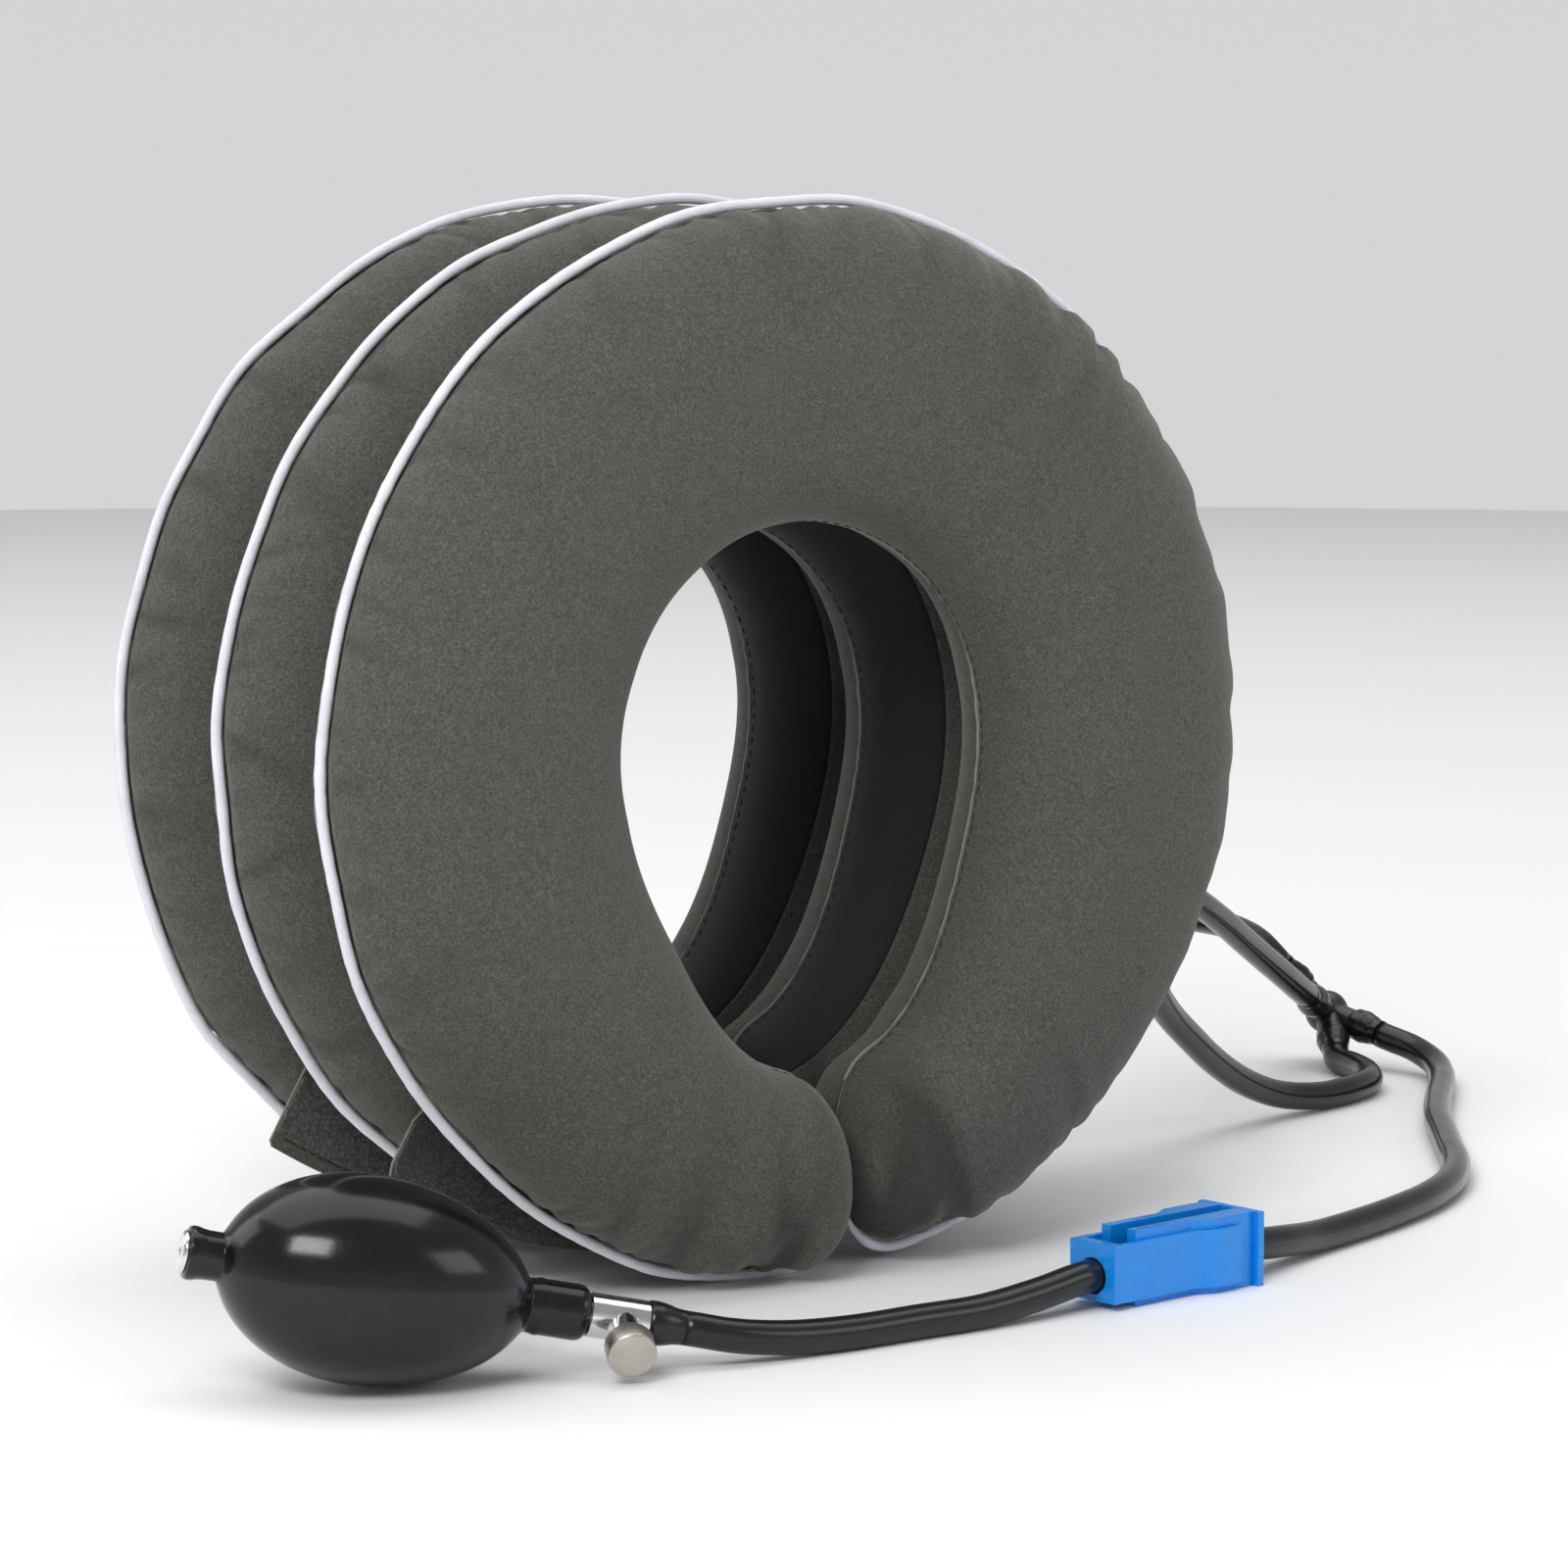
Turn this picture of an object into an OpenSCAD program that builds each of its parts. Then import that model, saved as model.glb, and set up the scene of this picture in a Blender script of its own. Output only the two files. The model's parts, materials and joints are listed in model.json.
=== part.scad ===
// Cervical traction device: an inflatable three-layer neck collar that stands on edge,
// with branch hoses, a four-way connector, a shut-off clamp, a hand bulb and a release valve.
// Frame: +X right, +Y from the front layer to the back layer, +Z up.
// The origin is on the floor, under the collar's axis, in the middle layer's plane.

/* [Collar] */
// Outside diameter of the collar over its piping
collar_d = 250; // [240:1:260]
// Width of the neck opening across its middle
neck_w = 101; // [96:1:106]
// How much deeper the opening reaches at the bottom, between the two ends
neck_drop = 26; // [20:1:28]
// Distance from one layer's middle to the next
layer_pitch = 48; // [47:0.5:50]
// Thickness of one inflated layer
layer_t = 45.2; // [43:0.1:45.2]
// Gap between the collar's two ends
end_gap = 3; // [2:0.5:5]
// How far round to the right of the bottom the gap lies, in degrees
gap_turn = 5.5; // [0:0.5:7]
// Thickness of the flocked cover fabric
cover_t = 1.2; // [1:0.1:1.4]
// Thickness of the bladder's rubber wall
bladder_t = 0.8; // [0.6:0.1:1]
// Diameter of the white piping
piping_d = 2.5; // [2:0.1:2.8]

/* [Straps] */
// Width of a closing strap
strap_w = 21; // [18:0.5:22]
// Thickness of a strap without its hook patch
strap_t = 1.2; // [1:0.1:1.3]
// Thickness of a hook patch
hook_t = 0.7; // [0.5:0.1:0.8]

/* [Hoses] */
// Outside diameter of every hose
hose_d = 7.5; // [7:0.1:7.5]
// Outside diameter of a hose end stretched over a barb
cuff_d = 9.6; // [9:0.1:9.8]
// Bore of the connector and the inlets
air_bore = 3; // [2:0.5:3.5]

/* [Clamp] */
// Length of the clamp from its end plate to its flange
clamp_l = 46; // [44:1:50]
// Height of the jaws
jaw_h = 17.2; // [16:0.2:17.2]
// Height of the sleeve round the jaws
sleeve_h = 13.2; // [12:0.2:14]
// Travel of the sleeve from open to shut
sleeve_travel = 5; // [4:0.5:5]

/* [Bulb] */
// Diameter of the bulb
bulb_d = 44; // [42:1:46]
// Length of the bulb's round body
bulb_l = 67; // [64:1:70]
// Thickness of the bulb's rubber
bulb_wall = 2.2; // [1.8:0.1:2.6]
// Tilt of the bulb, its valve end down, in degrees
bulb_tilt = 12; // [8:1:14]

/* [Release valve] */
// Diameter of the valve's chrome barrel
valve_d = 9.4; // [8:0.2:10]
// Diameter of the thumb screw's head
knob_d = 10.5; // [10:0.5:12]
// Thickness of the thumb screw's head
knob_t = 5.5; // [4:0.5:6]

/* [Hidden] */

slack = 0.1;              // gap between pieces that touch
flat_side = cos(22.5);    // apothem of an octagon of radius 1

// --- collar layers -------------------------------------------------------
outer_r = collar_d / 2;
axis_z = outer_r - 2.5;              // the rings sink a little, which gives each layer a flat foot
piping_r = piping_d / 2;
piping_floor = piping_r * flat_side; // height of the piping's middle where it lies on the floor
seam_r = outer_r - piping_d - 0.3;   // outer seam of the cover panels
cover_floor = 2 * piping_floor + 0.3;
layer_h = layer_t / 2;
layer_y = [-layer_pitch, 0, layer_pitch];
end_round = 15;                      // length over which a layer's end rounds off
cap_scale = 0.32;                    // size of the flat cap at a layer's very end
section_power = 0.9;                 // 1 is an ellipse, less is fuller
stations = 46;
bladder_gap = 1.4;                   // space between the cover and the bladder inside it
bladder_margin = 4.2;                // how far the bladder stops short of the cover's ends, in degrees
lining_angle = 128;                  // section angle where the neck lining meets the flocked panel
first_angle = asin(end_gap / 2 / 100) - gap_turn;
last_angle = 360 - 2 * gap_turn - first_angle;

// Angles are measured at the collar's axis from straight down, clockwise as seen from the front.
function from_gap(a) = min(a + gap_turn, 360 - a - gap_turn);
function neck_r(a) = neck_w / 2 + neck_drop * exp(-pow(from_gap(a) / 38, 2));
function mid_r(a) = (seam_r + neck_r(a)) / 2;
function half_w(a) = (seam_r - neck_r(a)) / 2;
// Arc length from a layer's nearer end, and the size of the section there.
function from_end(a) = min(a - first_angle, last_angle - a) * mid_r(a) * PI / 180;
function end_scale(a) =
    let (u = max(0, 1 - from_end(a) / end_round))
    max(cap_scale, pow(1 - pow(u, 2.4), 1 / 2.4));
function power(v, p) = sign(v) * pow(abs(v), p);
// Stations lie closer together where the ends round off.
function station(i, n, margin) =
    let (u = i / (n - 1), d = 12)
    first_angle + margin + (last_angle - first_angle - 2 * margin) * (u - sin(360 * u) / d);
// A point on a layer's skin at angle a and section angle p, moved in by inset.
// Section angle 0 is the outer seam, 90 the front face, 180 the inner seam, 270 the back face.
function skin(a, p, y, inset, floor_z) =
    let (s = end_scale(a),
         w = max(0.3, half_w(a) * s - inset),
         h = max(0.3, layer_h * s - inset),
         r = mid_r(a) + w * power(cos(p), section_power),
         z = axis_z - r * cos(a))
    [-r * sin(a), y - h * power(sin(p), section_power), max(z, floor_z)];
// The inner face of a panel closes up at the layer's two ends.
function inner_inset(i, n, t) = (i == 0 || i == n - 1) ? 40 : t;

// A solid from rings of points: side faces between rings and a cap at each end.
module rings_solid(rings) {
    m = len(rings[0]);
    n = len(rings);
    points = [for (ring = rings) each ring];
    sides = [for (i = [0:n - 2], j = [0:m - 1])
        let (k = (j + 1) % m) each [
            [i * m + j, (i + 1) * m + j, (i + 1) * m + k],
            [i * m + j, (i + 1) * m + k, i * m + k]]];
    start = [for (j = [0:m - 1]) j];
    finish = [for (j = [m - 1:-1:0]) (n - 1) * m + j];
    polyhedron(points, concat(sides, [start, finish]));
}

// A strip of a layer's wall between two section angles, from inset t0 in to inset t1.
// It stops short of the layer's two ends by margin degrees.
module wall_strip(y, p0, p1, t0, t1, arcs, n, floor_z, margin = 0) {
    rings = [for (i = [0:n - 1])
        let (a = station(i, n, margin), deep = inner_inset(i, n, t1))
        concat(
            [for (j = [0:arcs]) skin(a, p0 + (p1 - p0) * j / arcs, y, t0, floor_z)],
            [for (j = [arcs:-1:0]) skin(a, p0 + (p1 - p0) * j / arcs, y, deep, floor_z + t1 - t0)])];
    rings_solid(rings);
}

module cover_front_panel(y, last) {
    color([0.33, 0.33, 0.31]) wall_strip(y, 0, last, 0, cover_t, round(last / 22.5), stations, cover_floor);
}

module cover_back_panel(y) {
    color([0.31, 0.31, 0.29]) wall_strip(y, 180, 360, 0, cover_t, 8, stations, cover_floor);
}

module neck_lining(y) {
    color([0.13, 0.14, 0.16]) wall_strip(y, lining_angle, 180, 0, cover_t, 3, stations, cover_floor);
}

// The bladder is open by a hair along its inner seam, where its two sheets are bonded.
module bladder(y) {
    gap = cover_t + bladder_gap;
    color([0.75, 0.62, 0.45])
        wall_strip(y, -178, 178, gap, gap + bladder_t, 11, 28, cover_floor + gap, bladder_margin);
}

// The piping follows the outer seam, with one side of its octagon facing outwards.
module piping(y) {
    edge_r = piping_r + 0.3;
    route = [for (i = [1:stations - 2])
        let (a = station(i, stations, 0), r = mid_r(a) + half_w(a) * end_scale(a) + edge_r)
        [-r * sin(a), y, max(axis_z - r * cos(a), piping_floor)]];
    color([0.92, 0.91, 0.96]) tube(route, piping_r, 8, 22.5);
}

// --- inlets --------------------------------------------------------------
inlet_p = 335;                       // section angle of the inlet: on the back panel, near the outer seam
inlet_at = skin(270, inlet_p, 0, 0, 0);
inlet_lean = 34.4;                   // angle of the skin's normal from straight out
inlet_flange_r = 8;
inlet_hub_r = 4.6;
inlet_hub_l = 9;
inlet_stem_l = 7.2;                  // how far the inlet reaches into the layer
inlet_spout_dir = [0.26, 0.26, -0.93];
inlet_spout_l = 16;
barb_r = 2.7;

// Turns +Z onto the direction d.
module point_along(d) {
    rotate([0, acos(d[2] / norm(d)), atan2(d[1], d[0])]) children();
}

module inlet(y) {
    color([0.16, 0.16, 0.17])
        translate(inlet_at + [0, y, 0]) difference() {
            union() {
                rotate([0, 0, inlet_lean]) rotate([0, 90, 0]) {
                    translate([0, 0, -cover_t - 2.4]) cylinder(r = inlet_flange_r, h = 1.2, $fn = 40);
                    translate([0, 0, 0.1]) cylinder(r = inlet_flange_r - 1.5, h = 1.1, $fn = 40);
                    translate([0, 0, -inlet_stem_l])
                        cylinder(r = inlet_hub_r - 1, h = inlet_stem_l + 2, $fn = 32);
                    cylinder(r = inlet_hub_r, h = inlet_hub_l, $fn = 32);
                }
                translate(inlet_hub()) point_along(inlet_spout_dir) {
                    cylinder(r = barb_r - 0.3, h = inlet_spout_l, $fn = 32);
                    cylinder(r = hose_d / 2, h = 5.5, $fn = 32);
                    barbs(6.5, 3, 3);
                }
            }
            translate(inlet_hub()) point_along(inlet_spout_dir)
                cylinder(r = air_bore / 2, h = inlet_spout_l + 1, $fn = 32);
            rotate([0, 0, inlet_lean]) rotate([0, 90, 0])
                translate([0, 0, -inlet_stem_l - 1]) cylinder(r = air_bore / 2, h = inlet_stem_l + 6, $fn = 32);
        }
}
function inlet_hub() = [cos(inlet_lean), sin(inlet_lean), 0] * 4.5;
function inlet_exit(y) =
    inlet_at + [0, y, 0] + inlet_hub() + inlet_spout_dir * inlet_spout_l / norm(inlet_spout_dir);

// A row of barb rings along +Z, each a short cone.
module barbs(z0, step, count) {
    for (i = [0:count - 1])
        translate([0, 0, z0 + i * step]) cylinder(r1 = barb_r, r2 = barb_r - 0.4, h = step * 0.8, $fn = 32);
}

// A hose end stretched over barbs: thick over the barbs, tapering to the hose's own size.
module cuff(l) {
    color([0.08, 0.08, 0.09]) rotate_extrude($fn = 40) polygon([
        [barb_r + slack, 0], [hose_d / 2, 0], [cuff_d / 2, l * 0.22], [cuff_d / 2, l * 0.55],
        [hose_d / 2, l], [barb_r + slack, l]]);
}

module inlet_cuff(y) {
    l = 10;
    dir = inlet_spout_dir / norm(inlet_spout_dir);
    translate(inlet_exit(y) - dir * l) point_along(inlet_spout_dir) cuff(l);
}

// --- straps --------------------------------------------------------------
// Middle line of a strap in the plane between two layers, from its free end, as [x, z].
rear_strap_line = [[-93, 38], [-82, 31.5], [-70, 25.5], [-57, 20.5], [-42, 16.5], [-25, 13.8], [-8, 13],
    [10, 13], [28, 14], [45, 17], [60, 22]];
front_strap_line = [[-90, 36], [-80, 30], [-69, 24.5], [-57, 20], [-42, 16.5], [-25, 13.8], [-8, 13],
    [10, 13], [28, 14], [45, 17], [60, 22]];
hook_points = 4;                     // how many of the line's points the hook patch covers

function unit(v) = v / norm(v);
function line_dir(p, i) = unit(p[min(i + 1, len(p) - 1)] - p[max(i - 1, 0)]);
function beside(p, i, w) = let (d = line_dir(p, i)) p[i] + [-d[1], d[0]] * w;
module strap_shape(line, w, count) {
    polygon(concat(
        [for (i = [0:count - 1]) beside(line, i, w / 2)],
        [for (i = [count - 1:-1:0]) beside(line, i, -w / 2)]));
}
module strap(line, y) {
    color([0.30, 0.30, 0.28]) translate([0, y + 1, 0]) rotate([90, 0, 0])
        linear_extrude(strap_t) strap_shape(line, strap_w, len(line));
}
module tape_patch(line, y) {
    color([0.15, 0.14, 0.14]) translate([0, y + 1 - strap_t, 0]) rotate([90, 0, 0])
        linear_extrude(hook_t) strap_shape(line, strap_w - 6, hook_points);
}

// --- four-way connector --------------------------------------------------
connector_at = [290, 108, 14];
hub_r = 6.2;
collar_end = 10.3;                   // where an arm's smooth collar ends and its barbs start
arm_l = 20.5;
// Heading (from +X towards +Y) and slope of the four arms, in degrees.
front_arm = [238, -25];
middle_arm = [212, 22];
back_arm = [165, 45];
main_arm = [280, -12];
function heading(arm) = [cos(arm[0]) * cos(arm[1]), sin(arm[0]) * cos(arm[1]), sin(arm[1])];
function on_arm(arm, distance) = connector_at + heading(arm) * distance;
module four_way_connector() {
    arms = [front_arm, middle_arm, back_arm, main_arm];
    color([0.10, 0.10, 0.11]) translate(connector_at) difference() {
        union() {
            sphere(r = hub_r, $fn = 48);
            for (arm = arms) point_along(heading(arm)) {
                cylinder(r = hose_d / 2, h = collar_end, $fn = 32);
                cylinder(r = barb_r - 0.3, h = arm_l, $fn = 32);
                barbs(collar_end + 0.6, 3, 3);
            }
        }
        for (arm = arms) point_along(heading(arm)) cylinder(r = air_bore / 2, h = arm_l + 1, $fn = 32);
    }
}
module connector_cuff(arm) {
    l = arm_l - collar_end - slack;
    translate(on_arm(arm, arm_l - l)) point_along(heading(arm)) cuff(l);
}

// --- shut-off clamp ------------------------------------------------------
clamp_at = [56, -113, 7.3];
clamp_turn = 8;
hole_r = hose_d / 2 + 0.35;
plate_t = 3;
ramp_x = 3;                          // where the side walls start to spread
ramp_l = 5;
ramp_rise = 2.5;                     // how far each jaw closes over the sleeve's travel
narrow = 5.3;                        // half width of the jaws at their narrow end
wide = narrow + ramp_rise;
side_wall = 1.7;
half_l = clamp_l / 2;
flange_t = 2;
module clamp_place() {
    translate(clamp_at) rotate([0, 0, clamp_turn]) children();
}
// Outline of the jaws, and grown outwards by g of the sleeve, in plan.
function wedge(g, x0, x1) = [
    [x0, -narrow - g], [ramp_x, -narrow - g], [ramp_x + ramp_l, -wide - g], [x1, -wide - g],
    [x1, wide + g], [ramp_x + ramp_l, wide + g], [ramp_x, narrow + g], [x0, narrow + g]];
sleeve_end = half_l - flange_t - sleeve_travel - 0.3;
module clamp_sleeve() {
    color([0.10, 0.50, 0.92]) clamp_place() translate([0, 0, -clamp_at[2] + 1.7]) difference() {
        linear_extrude(sleeve_h) difference() {
            polygon(wedge(side_wall, -half_l, sleeve_end));
            polygon(wedge(0.15, -half_l + plate_t, sleeve_end + 1));
        }
        translate([-half_l - 1, 0, clamp_at[2] - 1.7]) rotate([0, 90, 0])
            cylinder(r = hole_r, h = plate_t + 2, $fn = 40);
    }
}
jaw_start = -half_l + plate_t + sleeve_travel + 0.3;
jaw_end = half_l - flange_t - 0.15;
pinch_x = -4;                        // where a flat rib on each jaw pinches the hose shut
pinch_y = hose_d / 2 + 0.05;
module clamp_jaw(side) {
    color([0.08, 0.45, 0.88]) clamp_place() translate([0, 0, -clamp_at[2]]) difference() {
        linear_extrude(jaw_h) intersection() {
            polygon(wedge(0, jaw_start, jaw_end));
            translate([-half_l, side > 0 ? ramp_rise + 0.1 : -20]) square([clamp_l, 20 - ramp_rise - 0.1]);
        }
        translate([0, 0, clamp_at[2]]) rotate([0, 90, 0]) {
            translate([0, 0, jaw_start - 1]) cylinder(r = hole_r, h = pinch_x - jaw_start, $fn = 40);
            translate([0, 0, pinch_x + 2]) cylinder(r = hole_r, h = jaw_end - pinch_x, $fn = 40);
        }
        translate([pinch_x - 2, -pinch_y, clamp_at[2] - 5]) cube([5, 2 * pinch_y, 10]);
    }
}
module clamp_flange() {
    color([0.10, 0.50, 0.92]) clamp_place() translate([half_l - flange_t, 0, -clamp_at[2]]) difference() {
        translate([0, -wide - side_wall, 0]) cube([flange_t, 2 * (wide + side_wall), jaw_h]);
        translate([-1, 0, clamp_at[2]]) rotate([0, 90, 0]) cylinder(r = hole_r, h = flange_t + 2, $fn = 40);
    }
}

// --- bulb and its valves -------------------------------------------------
// The pump is drawn along +X from the bulb's middle, and then set on the floor.
bulb_r = bulb_d / 2;
bulb_a = bulb_l / 2;
bulb_turn = -18.6;
bulb_at = [-137, -94, sqrt(pow(bulb_a * sin(bulb_tilt), 2) + pow(bulb_r * cos(bulb_tilt), 2)) + 0.05];
left_neck_r = 5.4;
right_neck_r = 6;
left_neck_x = -40;
right_neck_x = 46;
neck_bore = 3.3;
valve_x = right_neck_x + 0.3;
barrel_l = 12.6;
hose_barb_x = valve_x + barrel_l;
hose_barb_l = 8.4;
screw_x = valve_x + 7.6;             // where the thumb screw crosses the valve
screw_roll = 20;                     // how far the thumb screw points down from level
module pump_place() {
    translate(bulb_at) rotate([0, bulb_tilt, bulb_turn]) children();
}
function pump_axis() = [cos(bulb_tilt) * cos(bulb_turn), cos(bulb_tilt) * sin(bulb_turn), -sin(bulb_tilt)];
function valve_hose_start() = bulb_at + pump_axis() * (hose_barb_x + hose_barb_l);

// Radius of the bulb's skin at x, for half length a and radius b, running smoothly into a neck.
function ellipse_r(x, a, b) = b * sqrt(max(0, 1 - pow(x / a, 2)));
function skin_r(x, a, b, neck) = pow(pow(ellipse_r(x, a, b), 4) + pow(neck, 4), 1 / 4);
function neck_for(x) = x < 0 ? left_neck_r : right_neck_r;
module along_x() {
    rotate([0, 90, 0]) children();
}
module bulb() {
    n = 36;
    outside = [for (i = [0:n]) let (x = -bulb_a * cos(180 * i / n))
        [skin_r(x, bulb_a, bulb_r, neck_for(x) * (0.55 + 0.45 * abs(x) / bulb_a)), x]];
    inside = [for (i = [n:-1:0]) let (x = -(bulb_a - bulb_wall) * cos(180 * i / n))
        [skin_r(x, bulb_a - bulb_wall, bulb_r - bulb_wall, neck_bore), x]];
    color([0.12, 0.13, 0.14]) pump_place() along_x() rotate_extrude($fn = 96) polygon(concat(
        [[neck_bore, left_neck_x], [left_neck_r - 0.6, left_neck_x], [left_neck_r, left_neck_x + 0.8]],
        outside,
        [[right_neck_r, right_neck_x - 1.2], [right_neck_r - 1.2, right_neck_x], [neck_bore, right_neck_x]],
        inside));
}

// Intake valve: a brass body in the left neck, with a cap, a seat, a ball and a retainer.
ball_r = 1.5;
chamber_r = 1.9;
intake_seat_x = -35.5;
intake_end_x = -29;
module intake_valve_body() {
    color([0.78, 0.78, 0.76]) pump_place() along_x() rotate_extrude($fn = 48) polygon([
        [1, left_neck_x - 1.2], [3.9, left_neck_x - 1.2], [4.5, left_neck_x - 0.7], [4.5, left_neck_x - slack],
        [neck_bore - 0.05, left_neck_x - slack], [neck_bore - 0.05, intake_end_x],
        [2.5, intake_end_x], [2.5, intake_end_x - 1.5], [chamber_r, intake_end_x - 1.5],
        [chamber_r, intake_seat_x], [1, intake_seat_x - 0.9]]);
}
module intake_ball() {
    color([0.7, 0.7, 0.72]) pump_place()
        translate([intake_seat_x + 0.25, 0, 0]) sphere(r = ball_r, $fn = 40);
}
module intake_retainer() {
    color([0.7, 0.6, 0.35]) pump_place() along_x()
        translate([0, 0, intake_end_x - 1.5 + 0.05]) difference() {
            cylinder(r = 2.45, h = 1.2, $fn = 40);
            translate([0, 0, -1]) cylinder(r = 0.8, h = 4, $fn = 24);
        }
}

// Valve body: a barbed tail in the bulb's right neck, a chrome barrel, a boss for the
// thumb screw, and a barb for the hose, with one air bore through all of it.
tail_l = 10;
bore_r = 1.25;
outlet_chamber_l = 4.6;
seat_l = 1.4;
seat_hole_r = 0.8;
seat_gap = sqrt(pow(ball_r, 2) - pow(seat_hole_r, 2)) + 0.02; // from the seat's face to the resting ball's middle
needle_bore_r = 2.06;
seat_y = 2.2;                        // distance of the needle's seat from the air bore's axis
boss_l = 7.6;
module screw_place() {
    translate([screw_x, 0, 0]) rotate([90 + screw_roll, 0, 0]) children();
}
module valve_body() {
    color([0.80, 0.80, 0.80]) pump_place() difference() {
        union() {
            along_x() translate([0, 0, valve_x - tail_l]) cylinder(r = neck_bore - 0.05, h = tail_l + 1, $fn = 40);
            along_x() translate([0, 0, valve_x]) cylinder(r = valve_d / 2, h = barrel_l, $fn = 48);
            along_x() translate([0, 0, hose_barb_x]) cylinder(r = barb_r - 0.3, h = hose_barb_l, $fn = 32);
            along_x() translate([0, 0, 0]) barbs(hose_barb_x + 0.6, 2.6, 3);
            screw_place() cylinder(r = 3.6, h = boss_l, $fn = 40);
        }
        along_x() translate([0, 0, valve_x - tail_l - 1]) cylinder(r = bore_r, h = 60, $fn = 32);
        along_x() translate([0, 0, valve_x - tail_l - 1]) cylinder(r = chamber_r, h = outlet_chamber_l + 1, $fn = 32);
        along_x() translate([0, 0, valve_x - tail_l - 1]) cylinder(r = 2.5, h = seat_l + 1.1, $fn = 32);
        // Slots past the outlet ball, so that it never shuts the bore behind it.
        along_x() for (turn = [0, 90]) rotate([0, 0, turn])
            translate([-0.4, -chamber_r, valve_x - tail_l + outlet_chamber_l - 1]) cube([0.8, 2 * chamber_r, 3]);
        screw_place() translate([0, 0, seat_y]) cylinder(r = needle_bore_r, h = boss_l, $fn = 40);
        screw_place() cylinder(r = 0.7, h = boss_l, $fn = 24);
        screw_place() translate([0, 0, seat_y + 1.2]) along_x() cylinder(r = 0.6, h = 6, $fn = 24);
    }
}
module outlet_seat() {
    color([0.7, 0.6, 0.35]) pump_place() along_x() translate([0, 0, valve_x - tail_l]) difference() {
        cylinder(r = 2.45, h = seat_l, $fn = 40);
        translate([0, 0, -1]) cylinder(r = seat_hole_r, h = 4, $fn = 24);
    }
}
module outlet_ball() {
    color([0.7, 0.7, 0.72]) pump_place()
        translate([valve_x - tail_l + seat_l + seat_gap, 0, 0]) sphere(r = ball_r, $fn = 40);
}
module release_needle() {
    color([0.75, 0.65, 0.35]) pump_place() screw_place() rotate_extrude($fn = 32) polygon([
        [0, seat_y - 1], [0.6, seat_y - 1], [0.6, seat_y + 0.1], [1.5, seat_y + 0.3],
        [1.5, seat_y + 1.4], [0.8, seat_y + 1.4], [0.8, seat_y + 5], [0, seat_y + 5]]);
}
module release_knob() {
    flutes = 24;
    stem_z = seat_y + 1.5;
    head_z = boss_l + 1.6;
    color([0.72, 0.70, 0.66]) pump_place() screw_place() difference() {
        union() {
            translate([0, 0, stem_z]) cylinder(r = 2, h = head_z - stem_z + 1, $fn = 40);
            translate([0, 0, head_z - 0.8]) cylinder(r = 3.4, h = 1.2, $fn = 40);
            translate([0, 0, head_z]) rotate_extrude($fn = 72) polygon([
                [0, 0], [knob_d / 2 - 0.5, 0], [knob_d / 2, 0.5], [knob_d / 2, knob_t - 0.5],
                [knob_d / 2 - 0.5, knob_t], [0, knob_t]]);
        }
        translate([0, 0, stem_z - 1]) cylinder(r = 0.86, h = 4.8, $fn = 32);
        for (i = [0:flutes - 1]) rotate([0, 0, 360 * i / flutes])
            translate([knob_d / 2 + 0.15, 0, head_z + 0.8]) cylinder(r = 0.4, h = knob_t - 1.6, $fn = 16);
    }
}
module valve_cuff() {
    l = hose_barb_l - slack;
    pump_place() along_x() translate([0, 0, hose_barb_x + slack]) cuff(l);
}

// --- hoses ---------------------------------------------------------------
// A hose first runs straight on from the barb that it sits on.
function leaving(y) = inlet_exit(y) + unit(inlet_spout_dir) * 4;
front_branch_route = [inlet_exit(-layer_pitch), leaving(-layer_pitch), [128, -26, 94], [128, -21, 81],
    [131, -13, 68], [137, -3, 57], [146, 6, 47], [158, 15, 38], [172, 23, 29], [187, 31, 20], [203, 38, 12],
    [219, 43, 6.5], [236, 46.5, 4], [251, 51, 3.8], [263, 58, 3.8], [271, 68, 3.8], [276, 80, 3.8],
    on_arm(front_arm, arm_l + 3.5), on_arm(front_arm, arm_l)];
middle_branch_route = [inlet_exit(0), leaving(0), [131, 22, 94], [137, 27, 83], [149, 33, 75], [169, 40, 69],
    [191, 49, 62], [211, 60, 53], [229, 71, 44], [244, 80, 36.5], [256, 87, 30.5],
    on_arm(middle_arm, arm_l + 9), on_arm(middle_arm, arm_l)];
back_branch_route = [inlet_exit(layer_pitch), leaving(layer_pitch), [130, 70, 94], [136, 76, 83],
    [147, 82, 74], [164, 87, 67], [184, 91, 60], [204, 95, 54], [222, 99, 49.5], [239, 104, 45.5],
    [255, 109.5, 41.5], on_arm(back_arm, arm_l + 10), on_arm(back_arm, arm_l)];
main_route = [valve_hose_start(), valve_hose_start() + pump_axis() * 3, [-64, -118, 6.4], [-51, -119.5, 4.6],
    [-35, -120, 3.8], [-17, -119.5, 3.8], [0, -119.3, 3.9], [16, -118.3, 5.4], [31, -116.55, 7.3],
    [56, -113, 7.3], [80, -109.6, 7.3], [95, -105.5, 6], [112, -99, 4.2], [130, -92.5, 3.8],
    [150, -84.5, 3.8], [169, -75, 3.8], [186, -63, 3.8], [201, -48, 3.8], [214, -31, 3.8], [227, -14, 3.8],
    [240, 3, 3.8], [253, 18, 3.8], [266, 32, 3.8], [276.5, 43, 3.8], [286, 54, 4], [293, 65, 5.2],
    [295.5, 77, 7.4], on_arm(main_arm, arm_l + 4), on_arm(main_arm, arm_l)];

// A round tube through a route's points, with a ring across the route at each point.
function route_dir(p, i) = unit(p[min(i + 1, len(p) - 1)] - p[max(i - 1, 0)]);
function side_axis(d) = unit(cross(d, abs(d[2]) > 0.9 ? [1, 1, 0] : [0, 0, 1]));
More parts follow.
